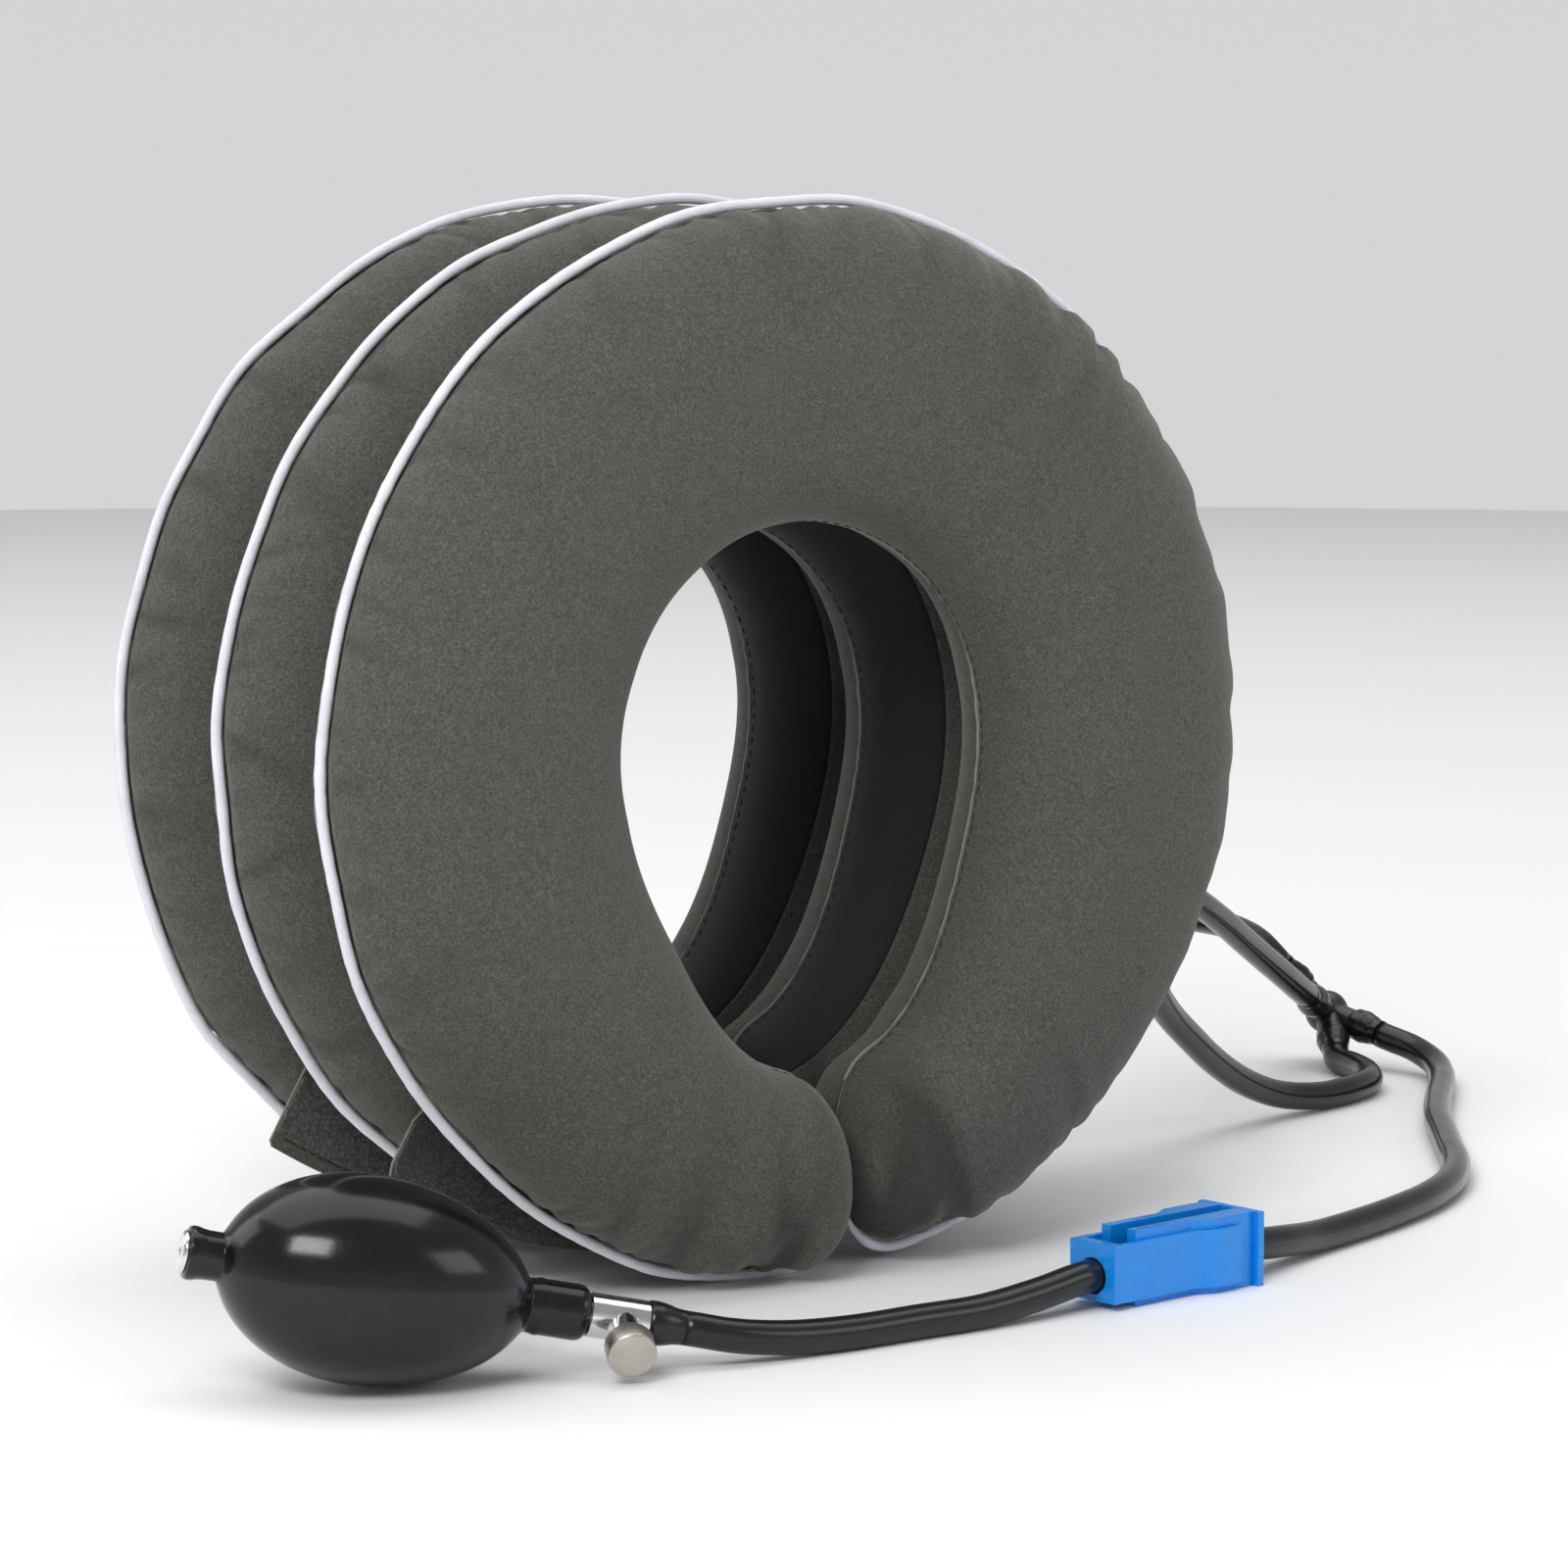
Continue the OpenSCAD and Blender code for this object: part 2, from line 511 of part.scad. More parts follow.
// Each ring's first axis follows on from the one before, so the tube doesn't twist.
function ring_axes(p, i) = i == 0 ? side_axis(route_dir(p, 0)) :
    let (before = ring_axes(p, i - 1), d = route_dir(p, i))
    unit(before - d * (before * d));
module tube(route, r, sides, turn) {
    rings = [for (i = [0:len(route) - 1])
        let (d = route_dir(route, i), u = ring_axes(route, i), v = cross(d, u))
        [for (j = [0:sides - 1])
            let (b = turn - 360 * j / sides)
            route[i] + r * (u * cos(b) + v * sin(b))]];
    rings_solid(rings);
}
module hose(route) {
    color([0.08, 0.08, 0.09]) tube(route, hose_d / 2, 10, 0);
}

cover_front_panel(layer_y[0], 180);  // front_cover_front_panel
cover_back_panel(layer_y[0]);  // front_cover_back_panel
piping(layer_y[0]);  // front_piping
bladder(layer_y[0]);  // front_bladder
inlet(layer_y[0]);  // front_inlet
cover_front_panel(layer_y[1], lining_angle);  // middle_cover_front_panel
cover_back_panel(layer_y[1]);  // middle_cover_back_panel
neck_lining(layer_y[1]);  // middle_neck_lining
piping(layer_y[1]);  // middle_piping
bladder(layer_y[1]);  // middle_bladder
inlet(layer_y[1]);  // middle_inlet
cover_front_panel(layer_y[2], lining_angle);  // back_cover_front_panel
cover_back_panel(layer_y[2]);  // back_cover_back_panel
neck_lining(layer_y[2]);  // back_neck_lining
piping(layer_y[2]);  // back_piping
bladder(layer_y[2]);  // back_bladder
inlet(layer_y[2]);  // back_inlet
strap(front_strap_line, -layer_pitch / 2);  // front_strap
tape_patch(front_strap_line, -layer_pitch / 2);  // front_strap_hook_patch
strap(rear_strap_line, layer_pitch / 2);  // rear_strap
tape_patch(rear_strap_line, layer_pitch / 2);  // rear_strap_loop_patch
hose(front_branch_route);  // front_branch_hose
hose(middle_branch_route);  // middle_branch_hose
hose(back_branch_route);  // back_branch_hose
hose(main_route);  // main_hose
inlet_cuff(layer_y[0]);  // front_inlet_cuff
inlet_cuff(layer_y[1]);  // middle_inlet_cuff
inlet_cuff(layer_y[2]);  // back_inlet_cuff
four_way_connector();
connector_cuff(front_arm);  // front_branch_cuff
connector_cuff(middle_arm);  // middle_branch_cuff
connector_cuff(back_arm);  // back_branch_cuff
connector_cuff(main_arm);  // main_hose_cuff
clamp_sleeve();
clamp_flange();
clamp_jaw(-1);  // clamp_near_jaw
clamp_jaw(1);  // clamp_far_jaw
bulb();
intake_valve_body();
intake_ball();
intake_retainer();
outlet_seat();
outlet_ball();
valve_body();
valve_cuff();
release_needle();
release_knob();
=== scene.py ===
"""Cervical traction device: the looks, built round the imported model.

Three inflated collar layers, their piping and straps, the hoses with their connector and
clamp, and the hand bulb with its valves. Lengths are in metres, unless a section says otherwise.
"""
import json
import math
import random

import bmesh
import bpy
import numpy as np
from mathutils import Matrix, Vector


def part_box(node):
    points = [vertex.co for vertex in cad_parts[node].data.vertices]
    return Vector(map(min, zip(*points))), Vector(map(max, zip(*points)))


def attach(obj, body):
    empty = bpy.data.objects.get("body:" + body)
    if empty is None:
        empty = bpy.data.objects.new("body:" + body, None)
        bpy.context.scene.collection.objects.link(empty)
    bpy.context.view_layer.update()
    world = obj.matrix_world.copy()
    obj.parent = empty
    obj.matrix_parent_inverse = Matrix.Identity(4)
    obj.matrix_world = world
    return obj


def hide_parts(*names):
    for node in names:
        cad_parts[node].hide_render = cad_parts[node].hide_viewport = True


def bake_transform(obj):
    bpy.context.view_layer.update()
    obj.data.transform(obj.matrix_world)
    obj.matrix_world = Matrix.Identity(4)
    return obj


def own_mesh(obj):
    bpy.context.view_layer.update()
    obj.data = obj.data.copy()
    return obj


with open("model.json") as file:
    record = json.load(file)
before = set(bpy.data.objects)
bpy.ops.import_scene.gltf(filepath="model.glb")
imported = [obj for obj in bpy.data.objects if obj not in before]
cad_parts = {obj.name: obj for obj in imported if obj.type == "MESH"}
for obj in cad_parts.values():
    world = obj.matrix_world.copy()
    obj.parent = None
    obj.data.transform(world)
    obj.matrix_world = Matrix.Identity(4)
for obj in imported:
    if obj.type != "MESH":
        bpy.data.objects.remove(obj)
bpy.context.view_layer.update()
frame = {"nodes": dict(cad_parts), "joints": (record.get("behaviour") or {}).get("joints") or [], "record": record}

MM = 0.001
SAME_POINT = 0.001 * MM          # points nearer than this are one
FLAT_ANGLE = math.radians(0.5)   # CAD triangles that meet at less are one flat face
BODY_OF = {node: body for body, nodes in frame["record"]["behaviour"]["bodies"].items() for node in nodes}
scene = bpy.context.scene

# --- camera ---
VIEW_TARGET = Vector((28.8, 0, 106.8)) * MM
VIEW_DISTANCE = 1200 * MM
VIEW_AZIMUTH = math.radians(-34)
VIEW_ELEVATION = math.radians(6.5)


def make_camera():
    """A camera at the photo's viewing angle, looking at the collar's middle."""
    data = bpy.data.cameras.new("camera")
    data.sensor_width = 36
    data.lens = 115.3
    data.dof.use_dof = False
    camera = bpy.data.objects.new("camera", data)
    away = Vector((math.sin(VIEW_AZIMUTH) * math.cos(VIEW_ELEVATION),
                   -math.cos(VIEW_AZIMUTH) * math.cos(VIEW_ELEVATION),
                   math.sin(VIEW_ELEVATION)))
    camera.location = VIEW_TARGET + away * VIEW_DISTANCE
    camera.rotation_euler = (-away).to_track_quat("-Z", "Y").to_euler()
    scene.collection.objects.link(camera)
    scene.camera = camera


# --- small helpers ---
def unit(v):
    return v / np.linalg.norm(v)


def new_object(name, vertices, faces, material, smooth=True, uv=None):
    """A mesh object from points and faces, with an optional UV for each point."""
    mesh = bpy.data.meshes.new(name)
    mesh.from_pydata([tuple(v) for v in vertices], [], [tuple(f) for f in faces])
    mesh.update()
    if uv is not None:
        layer = mesh.uv_layers.new(name="uv")
        loops = np.zeros(len(mesh.loops), np.int32)
        mesh.loops.foreach_get("vertex_index", loops)
        layer.data.foreach_set("uv", np.asarray(uv, np.float32)[loops].ravel())
    mesh.shade_smooth() if smooth else mesh.shade_flat()
    piece = bpy.data.objects.new(name, mesh)
    scene.collection.objects.link(piece)
    mesh.materials.append(material)
    return piece


def apply_modifiers(piece):
    """Gives a piece the mesh that its modifiers make, and removes them."""
    bpy.context.view_layer.update()
    graph = bpy.context.evaluated_depsgraph_get()
    mesh = bpy.data.meshes.new_from_object(piece.evaluated_get(graph))
    piece.modifiers.clear()
    piece.data = mesh


def outwards(piece):
    """Turns all faces of a closed mesh outwards."""
    bm = bmesh.new()
    bm.from_mesh(piece.data)
    bmesh.ops.recalc_face_normals(bm, faces=bm.faces)
    bm.to_mesh(piece.data)
    bm.free()


def tube_faces(rows, columns):
    """Faces between rings of points, ring after ring. Each ring is closed, and the ends are open."""
    return [(i * columns + j, (i + 1) * columns + j,
             (i + 1) * columns + (j + 1) % columns, i * columns + (j + 1) % columns)
            for i in range(rows - 1) for j in range(columns)]


def plate_points(front, back):
    """Two grids of points as rings: out along a row of the front one and back along the other."""
    return np.concatenate([front, back[:, ::-1]], axis=1)


def plate_faces(rows, columns):
    """Faces of a closed plate between two grids of points that plate_points has joined."""
    ring = 2 * columns
    faces = tube_faces(rows, ring)
    for end, flip in ((0, False), ((rows - 1) * ring, True)):
        for j in range(columns - 1):
            quad = (end + j, end + j + 1, end + ring - 2 - j, end + ring - 1 - j)
            faces.append(quad[::-1] if flip else quad)
    return faces


def smooth_path(points, step):
    """A smooth curve through given points (centripetal Catmull-Rom), at even steps."""
    p = np.asarray(points, float)
    p = np.vstack([2 * p[0] - p[1], p, 2 * p[-1] - p[-2]])
    out = []
    samples = 24
    for i in range(1, len(p) - 2):
        a, b, c, d = p[i - 1:i + 3]
        t = np.cumsum([0] + [max(1e-6, np.linalg.norm(v)) ** 0.5 for v in (b - a, c - b, d - c)])
        for s in np.linspace(t[1], t[2], samples, endpoint=False):
            a1 = (a * (t[1] - s) + b * (s - t[0])) / (t[1] - t[0])
            a2 = (b * (t[2] - s) + c * (s - t[1])) / (t[2] - t[1])
            a3 = (c * (t[3] - s) + d * (s - t[2])) / (t[3] - t[2])
            b1 = (a1 * (t[2] - s) + a2 * (s - t[0])) / (t[2] - t[0])
            b2 = (a2 * (t[3] - s) + a3 * (s - t[1])) / (t[3] - t[1])
            out.append((b1 * (t[2] - s) + b2 * (s - t[1])) / (t[2] - t[1]))
    out.append(p[-2])
    out = np.array(out)
    along = np.concatenate([[0], np.cumsum(np.linalg.norm(np.diff(out, axis=0), axis=1))])
    even = np.linspace(0, along[-1], max(3, int(round(along[-1] / step)) + 1))
    return np.stack([np.interp(even, along, out[:, k]) for k in range(3)], 1), float(along[-1])


def sweep(name, path, radius, sides, material, squeeze=None):
    """A round tube along a path, closed at both ends. squeeze(i) scales the radius at each ring."""
    path = np.asarray(path, float)
    n = len(path)
    tangents = np.gradient(path, axis=0)
    tangents /= np.linalg.norm(tangents, axis=1)[:, None]
    axis = unit(np.cross(tangents[0], [0, 0, 1] if abs(tangents[0][2]) < 0.9 else [0, 1, 0]))
    along = np.concatenate([[0], np.cumsum(np.linalg.norm(np.diff(path, axis=0), axis=1))])
    vertices, uv = [], []
    for i in range(n):
        axis = unit(axis - tangents[i] * (axis @ tangents[i]))
        other = np.cross(tangents[i], axis)
        r = radius * (squeeze(i) if squeeze else 1)
        for j in range(sides):
            b = 2 * math.pi * j / sides
            vertices.append(path[i] + r * (axis * math.cos(b) + other * math.sin(b)))
            uv.append((along[i], radius * b))
    faces = tube_faces(n, sides)
    vertices += [path[0], path[-1]]
    uv += [(0, 0), (along[-1], 0)]
    start, end = n * sides, n * sides + 1
    faces += [(start, j, (j + 1) % sides) for j in range(sides)]
    faces += [(end, (n - 1) * sides + (j + 1) % sides, (n - 1) * sides + j) for j in range(sides)]
    piece = new_object(name, vertices, faces, material, uv=uv)
    outwards(piece)
    return piece


def lathe(name, profile, place, material, steps=96):
    """A turned solid from a closed (x, radius) outline, round the X axis of the matrix place."""
    n = len(profile)
    vertices = [place @ Vector((x, r * math.cos(a), r * math.sin(a)))
                for a in (2 * math.pi * i / steps for i in range(steps)) for x, r in profile]
    faces = [(i * n + j, i * n + (j + 1) % n, (i + 1) % steps * n + (j + 1) % n, (i + 1) % steps * n + j)
             for i in range(steps) for j in range(n)]
    piece = new_object(name, vertices, faces, material)
    bm = bmesh.new()
    bm.from_mesh(piece.data)
    bmesh.ops.remove_doubles(bm, verts=bm.verts, dist=SAME_POINT)
    bmesh.ops.recalc_face_normals(bm, faces=bm.faces)
    bm.to_mesh(piece.data)
    bm.free()
    sharp_edges(piece, 40)
    return piece


def sharp_edges(piece, degrees):
    """Shades a piece smooth, apart from the edges that turn by more than the given angle."""
    bm = bmesh.new()
    bm.from_mesh(piece.data)
    for face in bm.faces:
        face.smooth = True
    for edge in bm.edges:
        edge.smooth = not (edge.is_manifold and edge.calc_face_angle(0) > math.radians(degrees))
    bm.to_mesh(piece.data)
    bm.free()


def stand_for(piece, node):
    """Puts a piece in a CAD node's place, on the same body."""
    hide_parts(node)
    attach(piece, BODY_OF[node])


def rounded_copy(node, slot, edge, limit=30):
    """A copy of a CAD piece with its edges rounded, as a moulded or machined piece has."""
    source = frame["nodes"][node]
    mesh = source.data.copy()
    bm = bmesh.new()
    bm.from_mesh(mesh)
    bmesh.ops.remove_doubles(bm, verts=bm.verts, dist=SAME_POINT)
    bmesh.ops.dissolve_limit(bm, angle_limit=FLAT_ANGLE, verts=bm.verts, edges=bm.edges)
    bm.to_mesh(mesh)
    bm.free()
    mesh.materials.clear()
    mesh.materials.append(MATERIAL[slot])
    piece = bpy.data.objects.new("look_" + node, mesh)
    scene.collection.objects.link(piece)
    bevel = piece.modifiers.new("bevel", "BEVEL")
    bevel.width = edge
    bevel.segments = 3
    bevel.limit_method = "ANGLE"
    bevel.angle_limit = math.radians(limit)
    bevel.use_clamp_overlap = True
    mesh.shade_smooth()
    weigh = piece.modifiers.new("weigh", "WEIGHTED_NORMAL")
    weigh.mode = "FACE_AREA"
    apply_modifiers(piece)
    stand_for(piece, node)
    return piece


# --- materials ---
class Nodes:
    """Short calls that add nodes to a material."""

    def __init__(self, name):
        self.material = bpy.data.materials.new(name)
        self.material.use_nodes = True
        self.tree = self.material.node_tree
        self.shader = self.tree.nodes["Principled BSDF"]
        self.place = self.tree.nodes.new("ShaderNodeTexCoord")

    def link(self, a, b):
        self.tree.links.new(a, b)

    def set(self, **values):
        for name, value in values.items():
            self.shader.inputs[name.replace("_", " ")].default_value = value

    def mapped(self, source, scale=(1, 1, 1), turn=(0, 0, 0)):
        node = self.tree.nodes.new("ShaderNodeMapping")
        node.inputs["Scale"].default_value = scale
        node.inputs["Rotation"].default_value = turn
        self.link(self.place.outputs[source], node.inputs["Vector"])
        return node.outputs["Vector"]

    def noise(self, size, detail, rough=0.55, vector=None):
        """Noise whose features are about size metres across."""
        node = self.tree.nodes.new("ShaderNodeTexNoise")
        node.inputs["Scale"].default_value = 1 / size
        node.inputs["Detail"].default_value = detail
        node.inputs["Roughness"].default_value = rough
        self.link(vector or self.place.outputs["Object"], node.inputs["Vector"])
        return node.outputs["Fac"]

    def wave(self, size, vector, direction):
        """Threads about size metres apart, side by side along X or Y."""
        node = self.tree.nodes.new("ShaderNodeTexWave")
        node.bands_direction = direction
        node.inputs["Scale"].default_value = 0.314 / size
        node.inputs["Distortion"].default_value = 0.4
        self.link(vector, node.inputs["Vector"])
        return node.outputs["Fac"]

    def cells(self, size):
        """Small round cells about size metres across."""
        node = self.tree.nodes.new("ShaderNodeTexVoronoi")
        node.inputs["Scale"].default_value = 1 / size
        self.link(self.place.outputs["Object"], node.inputs["Vector"])
        return node.outputs["Distance"]

    def ramp(self, value, stops):
        """A colour for each value, from (position, colour) stops."""
        node = self.tree.nodes.new("ShaderNodeValToRGB")
        ramp = node.color_ramp
        while len(ramp.elements) < len(stops):
            ramp.elements.new(0.5)
        for element, (position, colour) in zip(ramp.elements, stops):
            element.position = position
            element.color = (*colour, 1)
        self.link(value, node.inputs["Fac"])
        return node.outputs["Color"]

    def give(self, value, socket):
        """Links a value that is another node's output, or sets a plain one."""
        if isinstance(value, bpy.types.NodeSocket):
            self.link(value, socket)
        else:
            socket.default_value = value

    def mix(self, factor, a, b):
        node = self.tree.nodes.new("ShaderNodeMix")
        node.data_type = "RGBA"
        for name, value in (("Factor", factor), ("A", a), ("B", b)):
            self.give(value, node.inputs[name])
        return [o for o in node.outputs if o.type == "RGBA"][0]

    def maths(self, operation, a, b):
        node = self.tree.nodes.new("ShaderNodeMath")
        node.operation = operation
        for socket, value in zip(node.inputs, (a, b)):
            self.give(value, socket)
        return node.outputs["Value"]

    def attribute(self, name):
        node = self.tree.nodes.new("ShaderNodeAttribute")
        node.attribute_name = name
        return node.outputs["Fac"]

    def spread(self, value, low, high):
        """Stretches a value from 0 to 1 over low to high."""
        node = self.tree.nodes.new("ShaderNodeMapRange")
        node.inputs["To Min"].default_value = low
        node.inputs["To Max"].default_value = high
        self.link(value, node.inputs["Value"])
        return node.outputs["Result"]

    def colour(self, socket):
        self.link(socket, self.shader.inputs["Base Color"])

    def roughness(self, socket):
        self.link(socket, self.shader.inputs["Roughness"])

    def bump(self, height, distance, strength, after=None):
        node = self.tree.nodes.new("ShaderNodeBump")
        node.inputs["Distance"].default_value = distance
        node.inputs["Strength"].default_value = strength
        self.link(height, node.inputs["Height"])
        if after:
            self.link(after, node.inputs["Normal"])
        self.link(node.outputs["Normal"], self.shader.inputs["Normal"])
        return node.outputs["Normal"]


def scaled(colour, k):
    """A darker or lighter colour of the same hue."""
    return tuple(c * k for c in colour)


def flock_material(name, colour):
    """Flocked velour: a short soft nap with brushed patches, a pale sheen, and painted shade in its folds and
    along its seams.
    """
    n = Nodes(name)
    patches = n.noise(14 * MM, 4, 0.6)
    nap = n.noise(0.55 * MM, 2, 0.7)
    fleck = n.noise(1.9 * MM, 3, 0.7)
    tone = n.ramp(patches, [(0.30, scaled(colour, 0.82)), (0.52, colour), (0.72, scaled(colour, 1.2))])
    fibres = n.ramp(nap, [(0.32, scaled(colour, 0.3)), (0.5, colour), (0.68, scaled(colour, 2.1))])
    tone = n.mix(0.7, tone, fibres)
    tone = n.mix(0.3, tone, n.ramp(fleck, [(0.35, scaled(colour, 0.7)), (0.68, scaled(colour, 1.4))]))
    # painted shade: darkens the cloth in its creases and beside its seams, by a point attribute
    tone = n.mix(n.attribute("fold_shade"), tone, (*scaled(colour, 0.28), 1))
    n.colour(tone)
    n.roughness(n.spread(nap, 0.82, 1.0))
    n.set(Sheen_Weight=0.32, Sheen_Roughness=0.42, Sheen_Tint=(0.80, 0.79, 0.74, 1), Specular_IOR_Level=0.15)
    first = n.bump(nap, 0.30 * MM, 0.8)
    n.bump(fleck, 0.4 * MM, 0.6, first)
    return n.material


def woven_material(name, colour, thread, roughness, sheen=0.0, coordinates="UV"):
    """A plain weave of two sets of threads."""
    n = Nodes(name)
    place = n.mapped(coordinates)
    warp = n.wave(thread, place, "X")
    weft = n.wave(thread, place, "Y")
    weave = n.maths("MULTIPLY", warp, weft)
    patches = n.noise(9 * MM, 4)
    tone = n.ramp(patches, [(0.3, scaled(colour, 0.86)), (0.7, scaled(colour, 1.1))])
    tone = n.mix(0.4, tone, n.ramp(weave, [(0.1, scaled(colour, 0.72)), (0.7, scaled(colour, 1.12))]))
    n.colour(tone)
    n.roughness(n.spread(weave, roughness, min(1, roughness + 0.18)))
    n.set(Sheen_Weight=sheen, Sheen_Roughness=0.4, Specular_IOR_Level=0.3)
    n.bump(weave, 0.12 * MM, 0.8)
    return n.material


def rubber_material(name, colour, low, high, grain, coat=0.0):
    """Black rubber: even tone, faint clouding, tiny moulded-in grain and a few dust specks."""
    n = Nodes(name)
    clouds = n.noise(11 * MM, 4)
    dust = n.ramp(n.noise(0.5 * MM, 1, 0.5), [(0.74, (0, 0, 0)), (0.79, (1, 1, 1))])
    tone = n.ramp(clouds, [(0.3, scaled(colour, 0.8)), (0.7, scaled(colour, 1.35))])
    tone = n.mix(n.maths("MULTIPLY", dust, 0.18), tone, (0.22, 0.22, 0.23, 1))
    n.colour(tone)
    n.roughness(n.spread(n.noise(6 * MM, 5), low, high))
    n.set(Specular_IOR_Level=0.36, Coat_Weight=coat, Coat_Roughness=0.08)
    n.bump(n.noise(grain, 3), 0.05 * MM, 0.35)
    return n.material


def plastic_material(name, colour, low, high):
    """Moulded plastic: slight flow marks, handled patches and a fine surface grain."""
    n = Nodes(name)
    flow = n.noise(7 * MM, 3, vector=n.mapped("Object", (1, 1, 2.6), (0, 0, 0.14)))
    handled = n.noise(3 * MM, 4, 0.7)
    tone = n.ramp(flow, [(0.3, scaled(colour, 0.96)), (0.7, scaled(colour, 1.04))])
    n.colour(tone)
    n.roughness(n.spread(handled, low, high))
    n.set(Specular_IOR_Level=0.5, Coat_Weight=0.12, Coat_Roughness=0.15)
    n.bump(n.noise(0.6 * MM, 3), 0.012 * MM, 0.3)
    return n.material


def metal_material(name, colour, low, high, stretch=(1, 1, 1), turn=(0, 0, 0), size=0.5 * MM):
    """Bare or plated metal with fine tool marks, stretched along one direction when brushed."""
    n = Nodes(name)
    marks = n.noise(size, 4, 0.7, n.mapped("Object", stretch, turn))
    stain = n.noise(4 * MM, 3)
    n.colour(n.ramp(stain, [(0.3, scaled(colour, 0.88)), (0.7, scaled(colour, 1.06))]))
    n.roughness(n.spread(marks, low, high))
    n.set(Metallic=1.0)
    n.bump(marks, 0.02 * MM, 0.5)
    return n.material


def hook_material(name, colour):
    """Fuzzy hook and loop tape: rows of tiny curled loops, with painted highlights on their tops and painted shade
    between them.
    """
    n = Nodes(name)
    loops = n.cells(1.05 * MM)
    fuzz = n.noise(0.4 * MM, 3, 0.8)
    # painted highlight on each loop's top, painted shade between the loops
    tone = n.ramp(loops, [(0.05, scaled(colour, 3.4)), (0.5, scaled(colour, 1.2)),
                          (0.9, scaled(colour, 0.35))])
    n.colour(n.mix(0.4, tone, n.ramp(fuzz, [(0.4, scaled(colour, 0.4)), (0.62, scaled(colour, 5.0))])))
    n.set(Roughness=0.95, Sheen_Weight=0.3, Sheen_Roughness=0.5, Specular_IOR_Level=0.15)
    first = n.bump(loops, 0.5 * MM, 0.8)
    n.bump(fuzz, 0.4 * MM, 0.6, first)
    return n.material


GREY = (0.086, 0.084, 0.076)
MATERIAL = {
    "flock": flock_material("flocked_velour", GREY),
    "strap": flock_material("strap_velour", scaled(GREY, 0.95)),
    # near-black: painted shade for the deep inside of the neck opening, on the lining cloth of the middle and back
    # layers
    "lining": woven_material("neck_lining", (0.020, 0.021, 0.025), 0.42 * MM, 0.62, 0.12),
    "piping": woven_material("piping_tape", (0.90, 0.89, 0.96), 0.45 * MM, 0.62, 0.2),
    "hook_tape": hook_material("hook_tape", (0.030, 0.029, 0.029)),
    "loop_tape": hook_material("loop_tape", (0.046, 0.045, 0.041)),
    "bladder": rubber_material("bladder_rubber", (0.60, 0.48, 0.34), 0.55, 0.75, 0.8 * MM),
    "hose_rubber": rubber_material("hose_rubber", (0.008, 0.009, 0.011), 0.18, 0.30, 0.5 * MM, 0.15),
    "bulb_rubber": rubber_material("bulb_rubber", (0.005, 0.0055, 0.007), 0.13, 0.22, 0.9 * MM, 0.1),
    "black_plastic": plastic_material("black_plastic", (0.018, 0.018, 0.020), 0.30, 0.45),
    "blue_plastic": plastic_material("blue_plastic", (0.004, 0.25, 0.78), 0.22, 0.32),
    "valve_chrome": metal_material("valve_chrome", (0.74, 0.74, 0.74), 0.08, 0.22),
    "knob_nickel": metal_material("knob_nickel", (0.50, 0.475, 0.43), 0.30, 0.52,
                                  (1, 1, 9), (0.3, 0, 0), 0.9 * MM),
    "brass": metal_material("brass", (0.66, 0.48, 0.20), 0.22, 0.40),
    "steel": metal_material("steel_ball", (0.60, 0.60, 0.62), 0.12, 0.24),
    "thread": woven_material("sewing_thread", (0.042, 0.041, 0.038), 0.3 * MM, 0.7, 0.1, "Object"),
    "seam_edge": woven_material("seam_edge", (0.27, 0.262, 0.235), 0.4 * MM, 0.8, 0.2, "Object"),
}


# --- hoses ---
# Points and lengths are in millimetres here, apart from HOSE_D and HOSE_STEP.
HOSE_D = 7.5 * MM
HOSE_STEP = 2.2 * MM
HOSE_SIDES = 20
BARB_R = 2.86
LAYER_PITCH = 48
VALVE_CUFF_L = 8.3
CONNECTOR_AT = np.array([290, 108, 14.0])
ARM_L = 20.5
CUFF_L = 10.1
ARMS = {"front": (238, -25), "middle": (212, 22), "back": (165, 45), "main": (280, -12)}
SPOUT = unit(np.array([0.26, 0.26, -0.93]))


def heading(arm):
    """The direction of a connector arm, which ARMS gives as its heading and slope in degrees."""
    h, s = (math.radians(x) for x in ARMS[arm])
    return np.array([math.cos(h) * math.cos(s), math.sin(h) * math.cos(s), math.sin(s)])


def on_arm(arm, distance):
    """The point on a connector arm's axis at a distance from the connector's middle."""
    return CONNECTOR_AT + heading(arm) * distance


def node_middle(node):
    low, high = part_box(node)
    return np.array((low + high) / 2) / MM


def inlet_end(layer):
    """Where an inlet's cuff meets its hose: the cuff's box is centred half its length away."""
    return node_middle(layer + "_inlet_cuff") + SPOUT * CUFF_L / 2


def leaving(layer):
    """A hose first runs straight on from the barb that it sits on."""
    return inlet_end(layer) + SPOUT * 4


BRANCHES = {
    "front": [leaving("front"), [128, -26, 94], [128, -21, 81], [131, -13, 68], [137, -3, 57],
              [146, 6, 47], [158, 15, 38], [172, 23, 29], [187, 31, 20], [203, 38, 12],
              [219, 43, 6.5], [236, 46.5, 4], [251, 51, 3.8], [263, 58, 3.8], [271, 68, 3.8],
              [276, 80, 3.8], on_arm("front", ARM_L + 3.5)],
    "middle": [leaving("middle"), [131, 22, 94], [137, 27, 83], [149, 33, 75], [169, 40, 69],
               [191, 49, 62], [211, 60, 53], [229, 71, 44], [244, 80, 36.5], [256, 87, 30.5],
               on_arm("middle", ARM_L + 9)],
    "back": [leaving("back"), [130, 70, 94], [136, 76, 83], [147, 82, 74], [164, 87, 67],
             [184, 91, 60], [204, 95, 54], [222, 99, 49.5], [239, 104, 45.5], [255, 109.5, 41.5],
             on_arm("back", ARM_L + 10)],
}
